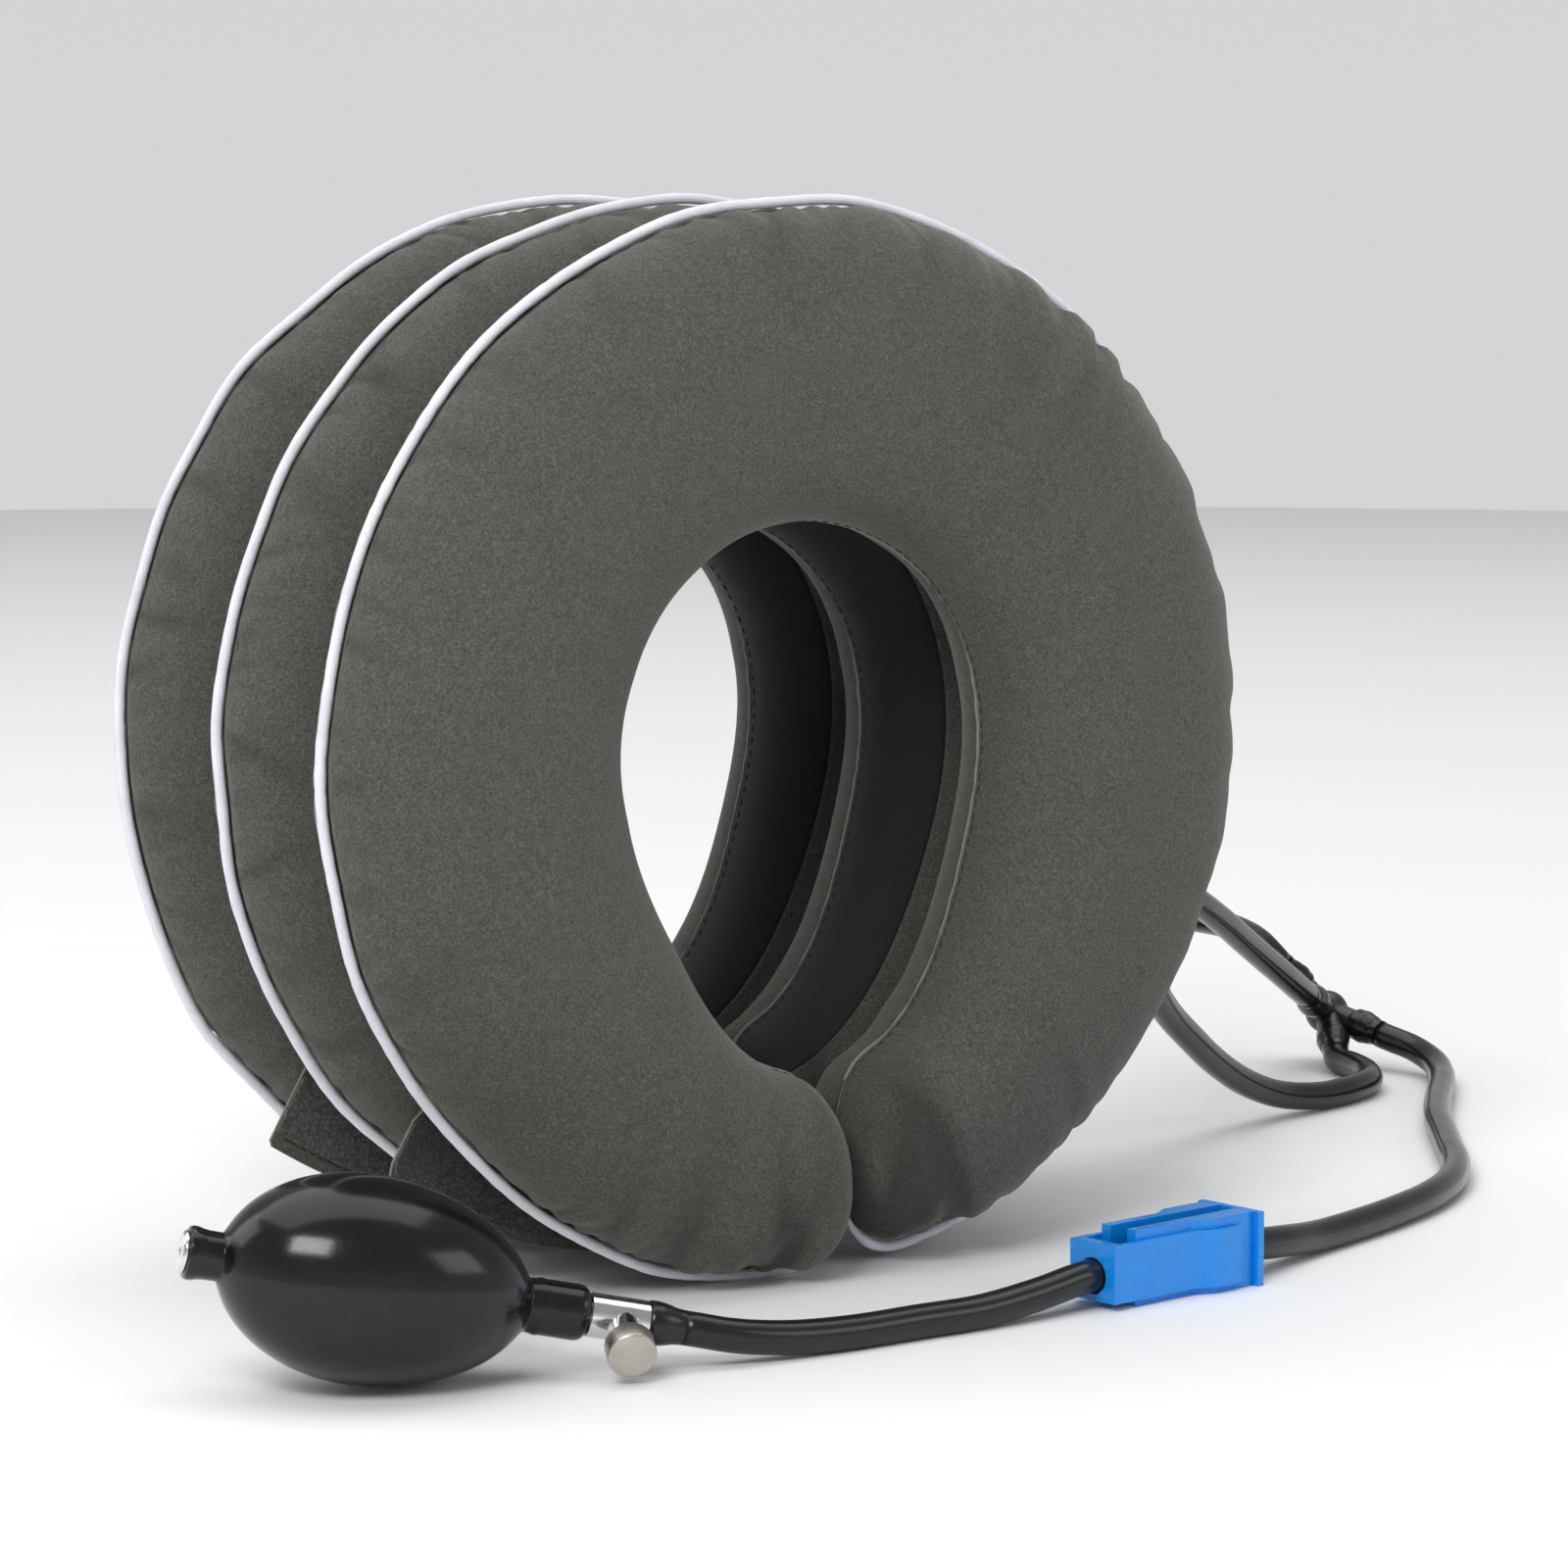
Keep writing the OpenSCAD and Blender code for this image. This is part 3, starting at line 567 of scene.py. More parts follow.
MAIN = [[-64, -118, 6.4], [-51, -119.5, 4.6], [-35, -120, 3.8], [-17, -119.5, 3.8], [0, -119.3, 3.9],
        [16, -118.3, 5.4], [31, -116.55, 7.3], [56, -113, 7.3], [80, -109.6, 7.3], [95, -105.5, 6],
        [112, -99, 4.2], [130, -92.5, 3.8], [150, -84.5, 3.8], [169, -75, 3.8], [186, -63, 3.8],
        [201, -48, 3.8], [214, -31, 3.8], [227, -14, 3.8], [240, 3, 3.8], [253, 18, 3.8], [266, 32, 3.8],
        [276.5, 43, 3.8], [286, 54, 4], [293, 65, 5.2], [295.5, 77, 7.4], on_arm("main", ARM_L + 4)]


def turned_cuff(name, node, direction, outline, steps):
    """A hose end as a turned piece in its cuff's place. The outline runs towards direction."""
    place = (Matrix.Translation(Vector(node_middle(node) * MM))
             @ Vector(direction).to_track_quat("X", "Z").to_matrix().to_4x4())
    piece = lathe(name, outline, place, MATERIAL["hose_rubber"], steps)
    stand_for(piece, node)
    return piece


def flare(name, node, direction):
    """A hose end stretched over a barb: a rolled lip, a swell that ripples, then the hose's size."""
    half = CUFF_L / 2 * MM
    barb_r, hose_r, swell = BARB_R * MM, HOSE_D / 2, 0.95 * MM
    rows = 40
    outline = [(-half, barb_r), (-half, hose_r - 0.25 * MM), (-half + 0.12 * MM, hose_r)]
    for i in range(1, rows):
        t = i / rows
        bulge = swell * math.sin(math.pi * min(1, t * 1.25) ** 0.8) ** 0.8 if t < 0.8 else 0
        ripple = 0.12 * MM * math.sin(6 * math.pi * t) * (1 - t) * (t > 0.12)
        outline.append((-half + 2 * half * t, hose_r + bulge + ripple))
    outline += [(half - 0.05 * MM, hose_r), (half - 0.05 * MM, barb_r)]
    return turned_cuff(name, node, direction, outline, 48)


def pump_direction():
    """The air line's direction through the valve, from the bulb's valve end to the hose."""
    joint = [j for j in frame["joints"] if j["name"] == "outlet_ball_lift"][0]
    return np.array(joint["axis"], float)


def make_branch_hoses():
    """The three hoses from the layers to the connector."""
    for layer, points in BRANCHES.items():
        route = np.vstack([inlet_end(layer), points, on_arm(layer, ARM_L)]) * MM
        path, length = smooth_path(route, HOSE_STEP)
        hose = sweep(layer + "_hose", path, HOSE_D / 2, HOSE_SIDES, MATERIAL["hose_rubber"])
        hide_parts(layer + "_branch_hose")
        if layer == "middle":
            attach(hose, "root")
        else:
            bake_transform(hose)
        with_pieces = [flare(layer + "_branch_flare", layer + "_branch_cuff", heading(layer))]
        if layer == "front":
            with_pieces.append(rounded_copy("four_way_connector", "black_plastic", 0.35 * MM))
        flare(layer + "_inlet_flare", layer + "_inlet_cuff", SPOUT)


def make_main_hose():
    """The hose from the pump to the connector, with the shut-off clamp on it."""
    air = pump_direction()
    start = node_middle("valve_cuff") + air * (VALVE_CUFF_L / 2)
    route = np.vstack([start, start + air * 3, MAIN, on_arm("main", ARM_L)]) * MM
    path, length = smooth_path(route, HOSE_STEP)
    hose = sweep("main_air_hose", path, HOSE_D / 2, HOSE_SIDES, MATERIAL["hose_rubber"])
    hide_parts("main_hose")
    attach(hose, "root")
    with_pieces = [rounded_copy(node, "blue_plastic", 0.4 * MM, 18)
                   for node in ("clamp_sleeve", "clamp_flange", "clamp_near_jaw", "clamp_far_jaw")]
    with_pieces.append(flare("main_flare", "main_hose_cuff", heading("main")))


# --- collar ---
ring_low, ring_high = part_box("middle_piping")
OUTER_R = (ring_high.x - ring_low.x) / 2
AXIS_Z = ring_high.z - OUTER_R
PIPING_R = 1.25 * MM
SEAM_R = OUTER_R - 2 * PIPING_R - 0.3 * MM
NECK_R = 50.5 * MM
NECK_DROP = 26 * MM
GAP_TURN = 5.5                   # degrees from the bottom round to the slot
cover_low, cover_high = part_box("middle_cover_front_panel")
LAYER_H = cover_high.y - cover_low.y
COVER_FLOOR = cover_low.z
COVER_T = 1.2 * MM
END_ROUND = 15 * MM
END_GAP = 0.03                   # the slot between a layer's ends: 3 mm wide, 100 mm from the axis
FIRST = math.degrees(math.asin(END_GAP / 2)) - GAP_TURN
LAST = 360 - 2 * GAP_TURN - FIRST
LINING_FROM = 128                # the section angle where the lining begins; its near-black colour is painted shade
LAYER_Y = {"front": -LAYER_PITCH * MM, "middle": 0.0, "back": LAYER_PITCH * MM}
END_SCALES = (0.03, 0.12, 0.22)  # extra rings that close a layer's rounded end
PLUMPNESS = 0.9                  # a section's power: 1 is an ellipse, less is squarer
THINNEST = 0.3 * MM              # a section's least half width
DRAWN_OUT, DRAWN_IN = -0.4 * MM, 3.4 * MM  # how far creases may move the cloth
EDGE_STATIONS = 470              # rings along a seam line


def neck_radius(a):
    """The neck opening's radius at ring angle a (degrees): wider towards the gap at the nape."""
    from_gap = np.minimum(a + GAP_TURN, 360 - a - GAP_TURN)
    return NECK_R + NECK_DROP * np.exp(-(from_gap / 38) ** 2)


def end_scale(a):
    """How full a layer's section is at ring angle a: less within END_ROUND of its two ends."""
    middle = (SEAM_R + neck_radius(a)) / 2
    from_end = np.minimum(a - FIRST, LAST - a) * middle * math.pi / 180
    u = np.clip(1 - from_end / END_ROUND, 0, 1)
    return np.maximum(0.32, (1 - u ** 2.4) ** (1 / 2.4))


class Wobble:
    """Smooth seeded waviness along the ring, made of a few sine waves."""

    def __init__(self, seed, size, count=7, low=5, high=26):
        rng = random.Random(seed)
        self.waves = [(rng.uniform(low, high), rng.uniform(0, 360), rng.uniform(0.4, 1))
                      for _ in range(count)]
        self.size = size / count ** 0.5

    def __call__(self, a):
        total = 0
        for turns, shift, height in self.waves:
            total = total + height * np.sin(np.radians(turns * a + shift))
        return self.size * total


class Gathers:
    """Creases that run in from the sewn outer seam, closer and deeper where the cloth is gathered."""

    def __init__(self, seed):
        rng = random.Random(seed)
        self.creases = []
        at = FIRST
        while at < LAST:
            strength = self.strength(at)
            width = rng.uniform(1.5, 3.0) * MM * (0.8 + 0.5 * strength)
            reach = rng.uniform(9, 21) * MM * (0.65 + 0.8 * strength)
            height = rng.uniform(0.6, 1.9) * MM * (0.6 + 1.2 * strength)
            slant = rng.uniform(-0.45, 0.45)
            self.creases.append((at, width, reach, height, slant))
            at += rng.uniform(1.9, 5.2) * (1.25 - 0.45 * strength)

    @staticmethod
    def strength(a):
        """How gathered the seam is: most at the two ends, and again at the upper right."""
        lobes = 1.3 * math.exp(-((a - FIRST) / 20) ** 2) + 1.6 * math.exp(-((a - LAST) / 26) ** 2)
        return min(1.7, 0.30 + lobes + 0.55 * math.exp(-((a - 222) / 30) ** 2))

    def __call__(self, a, depth):
        """Inward displacement at ring angle a (degrees) and distance depth in from the seam."""
        total = np.zeros(np.broadcast(a, depth).shape)
        for at, width, reach, height, slant in self.creases:
            near = np.abs(a[:, 0] - at) < 16
            if not near.any():
                continue
            s = (a[near] - at) * math.pi / 180 * OUTER_R - slant * depth[near]
            w = width * (1 + depth[near] / reach * 0.9)
            fade = (depth[near] / (depth[near] + 1.2 * MM)) * np.exp(-(depth[near] / reach) ** 1.6)
            total[near] += height * fade * (np.exp(-(s / w) ** 2) - 0.32 * np.exp(-(s / (2.6 * w)) ** 2))
        return total


def seam_shape(layer):
    """Waviness of a layer's sewn edge: outwards, and forwards or back."""
    seed = {"front": 11, "middle": 23, "back": 37}[layer]
    return Wobble(seed, 0.42 * MM), Wobble(seed + 1, 0.8 * MM, 6, 3, 15)


def ring_stations(count):
    """Ring angles from end to end, closer at the ends, with the section's fullness at each."""
    u = np.linspace(0, 1, count)
    a = FIRST + (LAST - FIRST) * (u - np.sin(2 * math.pi * u) / 20)
    scale = end_scale(a)
    a = np.concatenate([[FIRST] * len(END_SCALES), a, [LAST] * len(END_SCALES)])
    scale = np.concatenate([END_SCALES, scale, END_SCALES[::-1]])
    return a, scale


def signed_power(v, p):
    """A power that keeps the sign."""
    return np.sign(v) * np.abs(v) ** p


def creasing(layer, front_side, a, p, from_outer, from_inner):
    """How far the cloth is drawn in at each point of a wall, and how much painted shade its folds and seams get.
    """
    gathers = Gathers({"front": 3, "middle": 5, "back": 8}[layer] * 10 + front_side)
    push = gathers(a, from_outer)
    # painted shade in the crease valleys, where the gathers draw the cloth in
    fold_shade = np.clip(push / (1.1 * MM), 0, 1) * 0.6
    soft = Wobble(71 + LAYER_Y[layer] + front_side, 0.55 * MM, 9, 14, 46)(a + p / 9)
    push += np.abs(soft) * np.exp(-(from_outer / (30 * MM)) ** 2) * (from_outer / (from_outer + 3 * MM))
    push += np.abs(Wobble(91 + front_side, 0.5 * MM, 5, 2, 7)(a + p / 3))
    push += 1.0 * MM * np.exp(-(from_outer / (1.9 * MM)) ** 2)
    inner_pucker = 1 + Wobble(57 + front_side, 0.5, 6, 20, 60)(a)
    push += 0.22 * MM * np.exp(-(from_inner / (2.4 * MM)) ** 2) * inner_pucker
    # painted shadow beside the outer seam, under the piping, and painted shade along the inner seam
    fold_shade = fold_shade + 0.75 * np.exp(-(from_outer / (1.3 * MM)) ** 2)
    fold_shade = fold_shade + 0.35 * np.exp(-(from_inner / (1.0 * MM)) ** 2)
    return np.clip(push, DRAWN_OUT, DRAWN_IN), fold_shade


def wall(layer, p_from, p_to, count, arcs, inset, creased=True):
    """Points of a layer's wall, moved in by inset, with their UVs and the painted shade of its folds and seams.

    Section angles are in degrees: 0 at the outer seam, 90 at the front, 180 at the neck.
    """
    y = LAYER_Y[layer]
    a, scale = ring_stations(count)
    v = np.linspace(0, 1, arcs + 1)
    p = p_from + (p_to - p_from) * (v - np.sin(2 * math.pi * v) / 14)
    a, scale, p = a[:, None], scale[:, None], p[None, :]
    half_w = (SEAM_R - neck_radius(a)) / 2
    middle = (SEAM_R + neck_radius(a)) / 2
    w = np.maximum(THINNEST, half_w * scale - inset)
    h = np.maximum(THINNEST, LAYER_H * scale - inset)
    rp = np.radians(p)
    out, side = signed_power(np.cos(rp), PLUMPNESS), signed_power(np.sin(rp), PLUMPNESS)
    radius, off = middle + w * out, -h * side
    normal_r, normal_y = np.cos(rp) / w, -np.sin(rp) / h
    normal_size = np.hypot(normal_r, normal_y)
    normal_r, normal_y = normal_r / normal_size, normal_y / normal_size
    # Distance in from the outer and the inner seam, along the section.
    quarter = math.pi / 2 * (w + h) / 2
    wrapped = np.abs((p + 180) % 360 - 180)
    from_outer, from_inner = quarter * wrapped / 90, quarter * (180 - wrapped) / 90
    fold_shade = np.zeros(radius.shape)
    if creased:
        push, fold_shade = creasing(layer, p_from + p_to < 360, a, p, from_outer, from_inner)
        push *= np.clip(scale * 1.4 - 0.2, 0, 1)
        radius, off = radius - push * normal_r, off - push * normal_y
    wave_r, wave_y = seam_shape(layer)
    edge = np.exp(-(from_outer / (22 * MM)) ** 2) * np.clip(scale, 0, 1)
    radius, off = radius + wave_r(a) * edge, off + wave_y(a) * edge
    ra = np.radians(a)
    x, z = -radius * np.sin(ra), AXIS_Z - radius * np.cos(ra)
    z = np.maximum(z, COVER_FLOOR + inset)
    points = np.stack([x, y + off, z], -1)
    uv = np.stack([np.broadcast_to(ra * OUTER_R, x.shape), from_outer + 0 * x], -1)
    return points, uv, np.clip(fold_shade, 0, 1)


def shell(name, layer, p_from, p_to, material, arcs, count=760, inset=0.0, thickness=COVER_T,
          creased=True):
    """A closed shell of a layer's wall: an outer skin, an inner skin and joined edges."""
    outer, uv, fold_shade = wall(layer, p_from, p_to, count, arcs, inset, creased)
    inner, uv_in, _ = wall(layer, p_from, p_to, count, arcs, inset + thickness, creased)
    vertices = plate_points(outer, inner).reshape(-1, 3)
    coordinates = plate_points(uv, uv_in).reshape(-1, 2)
    # painted shade from the folds and seams, on the outer skin only, as a point attribute
    shade = plate_points(fold_shade, np.zeros(fold_shade.shape)).ravel()
    piece = new_object(name, vertices, plate_faces(*fold_shade.shape), material, uv=coordinates)
    attribute = piece.data.attributes.new("fold_shade", "FLOAT", "POINT")
    attribute.data.foreach_set("value", shade.astype(np.float32))
    outwards(piece)
    return piece


def flatten(piece):
    """Gives a piece its own copy of its mesh."""
    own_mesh(piece)


def soft_piece(piece, node):
    """A piece in a CAD node's place, that travels with its layer and has a mesh of its own."""
    stand_for(piece, node)
    flatten(piece)


def make_stitches(name, line, normals, pitch, size, material):
    """Thread stitches along a line: short rounded bars that dip into the cloth at both ends."""
    along = np.concatenate([[0], np.cumsum(np.linalg.norm(np.diff(line, axis=0), axis=1))])
    vertices, faces = [], []
    length, width, height = size
    rings = ((-0.5, 0.55, -0.6), (-0.25, 1, 0.3), (0.25, 1, 0.3), (0.5, 0.55, -0.6))
    sides = 6
    for k in range(int(along[-1] / pitch)):
        s = (k + 0.5) * pitch
        at = np.array([np.interp(s, along, line[:, i]) for i in range(3)])
        ahead = np.array([np.interp(s + 0.3 * MM, along, line[:, i]) for i in range(3)])
        up = unit(np.array([np.interp(s, along, normals[:, i]) for i in range(3)]))
        d = unit(ahead - at)
        across = unit(np.cross(up, d))
        base = len(vertices)
        for t, w, lift in rings:
            centre = at + d * length * t + up * height * lift
            for b in range(sides):
                angle = 2 * math.pi * b / sides
                vertices.append(centre + across * width / 2 * w * math.cos(angle)
                                + up * height / 2 * math.sin(angle))
        last = len(vertices) - sides
        faces += [tuple(base + i for i in face) for face in tube_faces(len(rings), sides)]
        faces += [tuple(range(base, base + sides))[::-1], tuple(range(last, last + sides))]
    piece = new_object(name, vertices, faces, material)
    outwards(piece)
    return piece


def make_layer(layer):
    """One inflated layer. The middle and back ones have a lining cloth at the neck, near-black as painted shade
    for the deep inside of the opening; the front one isn't lined.
    """
    lined = layer != "front"
    front = shell(layer + "_cover_front", layer, 0, LINING_FROM if lined else 180, MATERIAL["flock"],
                  arcs=32 if lined else 42)
    soft_piece(front, layer + "_cover_front_panel")
    back = shell(layer + "_cover_back", layer, 180, 360, MATERIAL["flock"], arcs=42)
    soft_piece(back, layer + "_cover_back_panel")
    if lined:
        # painted shade: near-black lining cloth at the neck, deep inside the opening
        lining = shell(layer + "_neck_lining_shade_cloth", layer, LINING_FROM, 180, MATERIAL["lining"], arcs=14)
        soft_piece(lining, layer + "_neck_lining")
    bladder = shell(layer + "_air_bladder", layer, -178, 178, MATERIAL["bladder"], arcs=40, count=150,
                    inset=5.2 * MM, thickness=0.8 * MM, creased=False)
    soft_piece(bladder, layer + "_bladder")
    make_piping(layer)
    make_inner_seam(layer)


def edge_line(layer, p, grow):
    """A line along a layer's wall at section angle p, moved outwards by grow, without the ends."""
    points, _, _ = wall(layer, p, p + 0.001, EDGE_STATIONS, 2, 0.0)
    line = points[:, 0]
    skip = len(END_SCALES)
    line = line[skip:-skip]
    centre = points[skip:-skip].mean(axis=1)
    axis = np.array([0, LAYER_Y[layer], AXIS_Z])
    outward = centre - axis
    outward[:, 1] = 0
    outward /= np.linalg.norm(outward, axis=1)[:, None]
    return line + outward * grow, outward


def make_piping(layer):
    """White tape sewn round a cord, in the outer seam, with the tape's wrinkles."""
    line, _ = edge_line(layer, 0, PIPING_R + 0.75 * MM)
    line[:, 2] = np.maximum(line[:, 2], PIPING_R)
    wobble = Wobble(5 + len(layer), 0.05, 8, 60, 170)
    a, _ = ring_stations(EDGE_STATIONS)
    a = a[len(END_SCALES):-len(END_SCALES)]
    taper = [min(1, 0.35 + 0.65 * min(i, len(line) - 1 - i) / 6) for i in range(len(line))]
    piece = sweep(layer + "_piping_tape", line, PIPING_R, 14, MATERIAL["piping"],
                  squeeze=lambda i: taper[i] * (1 + wobble(a[i])))
    stand_for(piece, layer + "_piping")


def make_inner_seam(layer):
    """The seam at the neck's crest: a thin cloth welt with stitches beside it."""
    clear = slice(6, -6)  # the stations that are clear of the rounded ends
    line, outward = edge_line(layer, 180, -0.05 * MM)
    welt = sweep(layer + "_inner_seam_welt", line[clear], 0.42 * MM, 8, MATERIAL["seam_edge"])
    stitch_line, _ = edge_line(layer, 176.5, -0.05 * MM)
    stitches = make_stitches(layer + "_inner_seam_stitches", stitch_line[clear], -outward[clear], 3.1 * MM,
                             (2.1 * MM, 0.45 * MM, 0.35 * MM), MATERIAL["thread"])
    for piece in (welt, stitches):
        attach(piece, BODY_OF[layer + "_piping"])
        flatten(piece)


# --- straps ---
# In millimetres. A line is (x, z) points, from the free end to where the strap is sewn.
UNDER_COLLAR = [[-42, 16.5], [-25, 13.8], [-8, 13], [10, 13], [28, 14], [45, 17], [60, 22]]
REAR_LINE = [[-93, 38], [-82, 31.5], [-70, 25.5], [-57, 20.5]] + UNDER_COLLAR
FRONT_LINE = [[-90, 36], [-80, 30], [-69, 24.5], [-57, 20]] + UNDER_COLLAR
STRAP_W = 21
STRAP_LIFT = -0.2
PLY_T = 0.55
FRONT_PLY_Y, BACK_PLY_Y, PATCH_Y = -0.15, 0.45, -0.85
PATCH_T, PATCH_L, PATCH_SEED = 0.5, 36, 7
TUFT_H = 0.25


def strap_path(line):
    """A strap's middle line at steps of 1 mm, with its length."""
    return smooth_path([[x, 0, z] for x, z in line], 1.0)


def strap_points(line, y, width, thickness, corner, count=150, across=16, trim=None):
    """Front and back faces of a flat strip that follows line in XZ, with rounded corners at both ends."""
    path, length = strap_path(line)
    if trim:
        path = path[:int(len(path) * trim / length)]
    keep = np.linspace(0, len(path) - 1, count)
    path = np.stack([np.interp(keep, np.arange(len(path)), path[:, k]) for k in range(3)], 1)
    tangent = np.gradient(path, axis=0)
    tangent /= np.linalg.norm(tangent, axis=1)[:, None]
    side = np.stack([-tangent[:, 2], 0 * tangent[:, 1], tangent[:, 0]], 1)
    along = np.concatenate([[0], np.cumsum(np.linalg.norm(np.diff(path, axis=0), axis=1))])
    rows = []
    wave = Wobble(int(abs(y)) + 3, 0.28, 5, 2, 9)
    for i in range(count):
        from_end = min(along[i], along[-1] - along[i])
        cut = max(0, corner - from_end)
        half = width / 2 - (corner - math.sqrt(max(0, corner ** 2 - cut ** 2)))
        row = []
        for j in range(across + 1):
            t = -1 + 2 * j / across
            bend = wave(np.float64(along[i] * 1.9 + 8 * t)) + STRAP_LIFT
            row.append(path[i] + side[i] * half * t + np.array([0, y + bend, 0]))
        rows.append(row)
    front = np.array(rows)
    back = front + np.array([0, thickness, 0])
    return front * MM, back * MM


def strip(name, front, back, material):
    """A closed thin plate between two grids of points."""
    vertices = plate_points(front, back).reshape(-1, 3)
    piece = new_object(name, vertices, plate_faces(*front.shape[:2]), material, uv=vertices[:, [0, 2]])
    outwards(piece)
    sharp_edges(piece, 50)
    return piece


def make_strap(side, line, layer, corner):
    """Two plies sewn together, with an edging and a hook or loop patch near the free end."""
    y = LAYER_PITCH / 2 * (1 if side == "rear" else -1)
    tape = "hook" if side == "front" else "loop"
    front, back = strap_points(line, y + FRONT_PLY_Y, STRAP_W, PLY_T, corner)
    front_ply = strip(side + "_strap_front_ply", front, back, MATERIAL["strap"])
    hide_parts(side + "_strap")
    front, back = strap_points(line, y + BACK_PLY_Y, STRAP_W - 0.7, PLY_T, corner)
    back_ply = strip(side + "_strap_back_ply", front, back, MATERIAL["strap"])
    edge, _ = strap_points(line, y + FRONT_PLY_Y, STRAP_W - 0.2, PLY_T, corner)
    edged = 60  # stations from the free end
    border = np.concatenate([edge[:edged, 0][::-1], edge[0, 1:-1], edge[:edged, -1]])
    border = border + np.array([0, PLY_T * MM * 1.05, 0])
    edging = sweep(side + "_strap_ply_edge", border, 0.28 * MM, 6, MATERIAL["seam_edge"])
    inner, _ = strap_points(line, y + FRONT_PLY_Y, STRAP_W - 5.5, PLY_T, max(0.5, corner - 2.5))
    seam = np.concatenate([inner[3:, 0][::-1], inner[3, 1:-1], inner[3:, -1]])
    normals = np.tile([0.0, -1.0, 0.0], (len(seam), 1))
    threads = make_stitches(side + "_strap_stitches", seam, normals, 2.6 * MM,
                            (1.8 * MM, 0.4 * MM, 0.3 * MM), MATERIAL["thread"])
    front, back = strap_points(line, y + PATCH_Y, STRAP_W - 6.5, PATCH_T, max(1.0, corner - 2),
                               90, 30, trim=PATCH_L)
    front = front + np.array([0.0, -0.1 * MM, 0.0])
    tufts = np.random.default_rng(PATCH_SEED).random(front[1:-1, 1:-1, 1].shape)
    front[1:-1, 1:-1, 1] -= tufts * (TUFT_H * MM)
    patch = strip(side + "_" + tape + "_patch", front, back, MATERIAL[tape + "_tape"])
    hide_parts(side + "_strap_" + tape + "_patch")
    strap_path(line)[1] * MM
    for piece in (front_ply, back_ply, edging, threads, patch):
        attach(piece, layer + "_layer")
        flatten(piece)


# --- pump ---
# Its own frame, in millimetres: X runs along the bulb from the intake valve to the hose.
BULB_R = 22
BULB_A = 33.5                    # half the bulb's length
BULB_WALL = 2.4
PUMP_AT = (-137, -94)
FLOOR_GAP = 0.05
TILT, TURN = math.radians(12), math.radians(-18.6)
LEFT_NECK_X, RIGHT_NECK_X = -40, 46
SCREW_ROLL = math.radians(110)
SCREW_X = RIGHT_NECK_X + 7.9


def pump_place():
    """Where the pump lies: turned and tilted, with the bulb just on the floor."""
    height = math.hypot(BULB_A * math.sin(TILT), BULB_R * math.cos(TILT)) + FLOOR_GAP
    return (Matrix.Translation(Vector((*PUMP_AT, height)) * MM) @ Matrix.Rotation(TURN, 4, "Z")
            @ Matrix.Rotation(TILT, 4, "Y"))


def bulb_outline():
    """The bulb's wall: an egg, fuller at the intake end, with a lipped neck and a rounded sleeve."""
    lip = [(LEFT_NECK_X, 3.4), (LEFT_NECK_X, 5.0), (LEFT_NECK_X + 0.3, 5.45), (LEFT_NECK_X + 1.0, 5.65),
           (LEFT_NECK_X + 1.9, 5.6), (LEFT_NECK_X + 3.0, 5.3), (LEFT_NECK_X + 4.2, 5.15)]
    sleeve = [(34.2, 5.85), (34.8, 6.05), (35.6, 6.1), (36.2, 5.95), (38, 5.95), (43.5, 6.0), (44.6, 5.85),
              (45.4, 5.3), (RIGHT_NECK_X, 4.4), (RIGHT_NECK_X, 3.4)]
    peak, left, right = -2.5, 30.5, 35.5
    body, inside = [], []
    steps = 60
    for i in range(steps + 1):
        t = math.sin((-1 + 2 * i / steps) * math.pi / 2)
        x = peak + t * (left if t < 0 else right)
        power, neck = (2.0, 5.1) if t < 0 else (1.85, 5.75)
        r = (BULB_R - 0.1) * max(0, 1 - abs(t) ** power) ** (1 / 2.05)
        body.append((x, (r ** 4 + neck ** 4) ** 0.25))
    steps = 30
    for i in range(steps + 1):
        t = math.sin((1 - 2 * i / steps) * math.pi / 2)
        x = peak + t * ((left if t < 0 else right) - BULB_WALL)
        r = (BULB_R - BULB_WALL) * max(0, 1 - abs(t) ** 2) ** 0.5
        inside.append((x, (r ** 4 + 3.35 ** 4) ** 0.25))
    return [(x * MM, r * MM) for x, r in lip + body + sleeve + inside]


def make_pump():
    """The bulb and the valve's pieces that show. The rest keep their CAD shape."""
    place = pump_place()
    bulb = lathe("hand_bulb", bulb_outline(), place, MATERIAL["bulb_rubber"], 144)
    stand_for(bulb, "bulb")
    screw = place @ Matrix.Translation(Vector((SCREW_X, 0, 0)) * MM) @ Matrix.Rotation(SCREW_ROLL, 4, "X")
    make_thumb_screw(screw @ Matrix.Rotation(-math.pi / 2, 4, "Y"))
    rounded_copy("valve_body", "valve_chrome", 0.2 * MM)
    rounded_copy("intake_valve_body", "valve_chrome", 0.2 * MM)
    valve_flare()


def make_thumb_screw(place):
    """A thick disc on a stem, hollow for the needle's end."""
    start, head, rim, thick, bore = 3.75, 9.2, 5.25, 5.5, 0.9
    top = head + thick
    outline = [(start, bore), (start, 1.95), (8.3, 1.95), (8.3, 3.3), (9.1, 3.3), (head, 4.6),
               (head + 0.25, rim - 0.15), (head + 0.6, rim), (top - 0.7, rim), (top - 0.3, rim - 0.12),
               (top - 0.08, rim - 0.42), (top, rim - 0.8), (top - 0.06, rim - 2.2), (top - 0.12, 0.02),
               (start + 4.6, 0.02), (start + 4.6, bore)]
    screw = lathe("thumb_screw", [(x * MM, r * MM) for x, r in outline], place, MATERIAL["knob_nickel"])
    stand_for(screw, "release_knob")


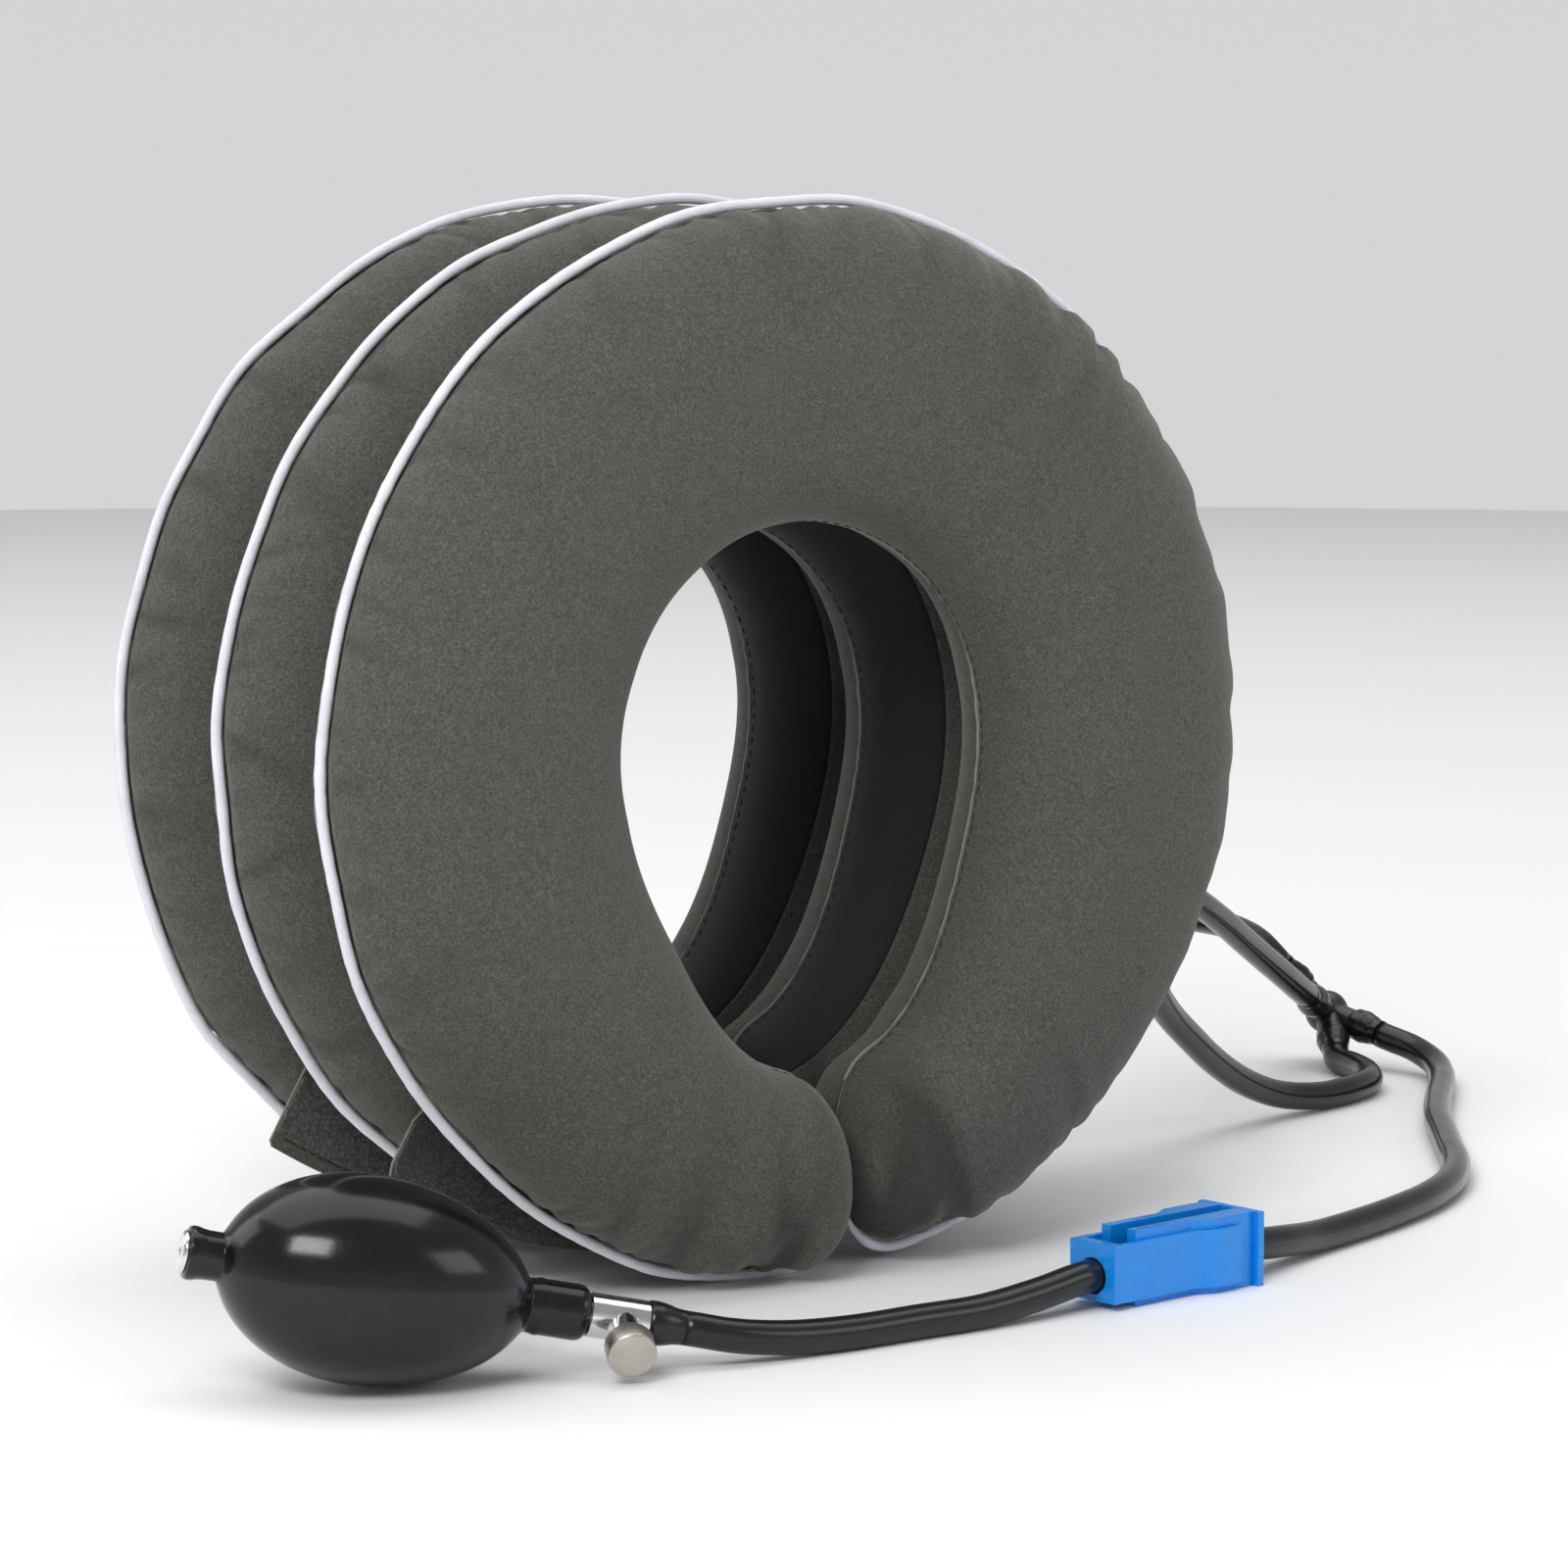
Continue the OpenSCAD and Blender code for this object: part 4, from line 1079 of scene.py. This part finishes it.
def valve_flare():
    """The main hose's end, swollen over the valve's barb, with a rolled lip."""
    half = VALVE_CUFF_L / 2
    outline = [(-half, BARB_R), (-half, 3.7), (-half + 0.15, 4.15), (-half + 0.5, 4.5), (-half + 1.1, 4.72),
               (-half + 2.4, 4.75), (-half + 3.6, 4.6), (-half + 4.9, 4.35), (-half + 6.2, 4.0),
               (-half + 7.3, 3.82), (half, 3.75), (half, BARB_R)]
    turned_cuff("valve_flare", "valve_cuff", pump_direction(), [(x * MM, r * MM) for x, r in outline], 64)


def finish_cad_nodes():
    """Gives each CAD piece that still shows its own material."""
    slots = {s["node"]: s["material_slot"] for s in frame["record"]["subparts"]}
    for name, node in frame["nodes"].items():
        node.data.materials.clear()
        node.data.materials.append(MATERIAL[slots[name]])


# --- stage ---
FLOOR_R = 3.0
FLOOR_SIDES = 120
LIGHTS = [  # name, place, size and power
    ("key", (-1.0, -0.75, 1.05), 0.7, 12.0), ("fill", (0.9, -1.1, 0.7), 0.7, 2.2),
    ("top", (0.2, 0.6, 2.6), 4.0, 52), ("rim", (-0.9, 0.9, 0.8), 0.8, 2.5)]
LIGHTS_AIM = Vector((0.02, 0, 0.08))


def make_floor():
    material = Nodes("floor")
    material.set(Base_Color=(0.93, 0.93, 0.935, 1), Roughness=0.65, Specular_IOR_Level=0.2)
    angles = [2 * math.pi * i / FLOOR_SIDES for i in range(FLOOR_SIDES)]
    rim = [(FLOOR_R * math.cos(a), FLOOR_R * math.sin(a), 0) for a in angles]
    new_object("floor", rim, [range(FLOOR_SIDES)], material.material, smooth=False)


def make_world():
    """A pale surround that dims towards the top."""
    world = bpy.data.worlds.new("studio")
    world.use_nodes = True
    tree = world.node_tree
    background = tree.nodes["Background"]
    background.inputs["Color"].default_value = (0.98, 0.99, 1, 1)
    place = tree.nodes.new("ShaderNodeTexCoord")
    height = tree.nodes.new("ShaderNodeSeparateXYZ")
    fade = tree.nodes.new("ShaderNodeMapRange")
    fade.interpolation_type = "SMOOTHSTEP"
    for socket, value in (("From Min", 0.02), ("From Max", 0.45), ("To Min", 0.67), ("To Max", 0.36)):
        fade.inputs[socket].default_value = value
    tree.links.new(place.outputs["Generated"], height.inputs["Vector"])
    tree.links.new(height.outputs["Z"], fade.inputs["Value"])
    tree.links.new(fade.outputs["Result"], background.inputs["Strength"])
    scene.world = world


def make_lights():
    for name, at, size, power in LIGHTS:
        data = bpy.data.lights.new(name, "AREA")
        data.shape = "RECTANGLE"
        data.size = size
        data.size_y = size * 0.7
        data.energy = power
        light = bpy.data.objects.new(name, data)
        light.location = at
        light.rotation_euler = (LIGHTS_AIM - Vector(at)).to_track_quat("-Z", "Y").to_euler()
        scene.collection.objects.link(light)
    scene.view_settings.view_transform = "Standard"


make_camera()
finish_cad_nodes()
make_branch_hoses()
make_main_hose()
for layer_name in LAYER_Y:
    make_layer(layer_name)
make_strap("front", FRONT_LINE, "front", 5.0)
make_strap("rear", REAR_LINE, "back", 1.0)
make_pump()
for layer_name in LAYER_Y:
    rounded_copy(layer_name + "_inlet", "black_plastic", 0.25 * MM)
make_floor()
make_world()
make_lights()
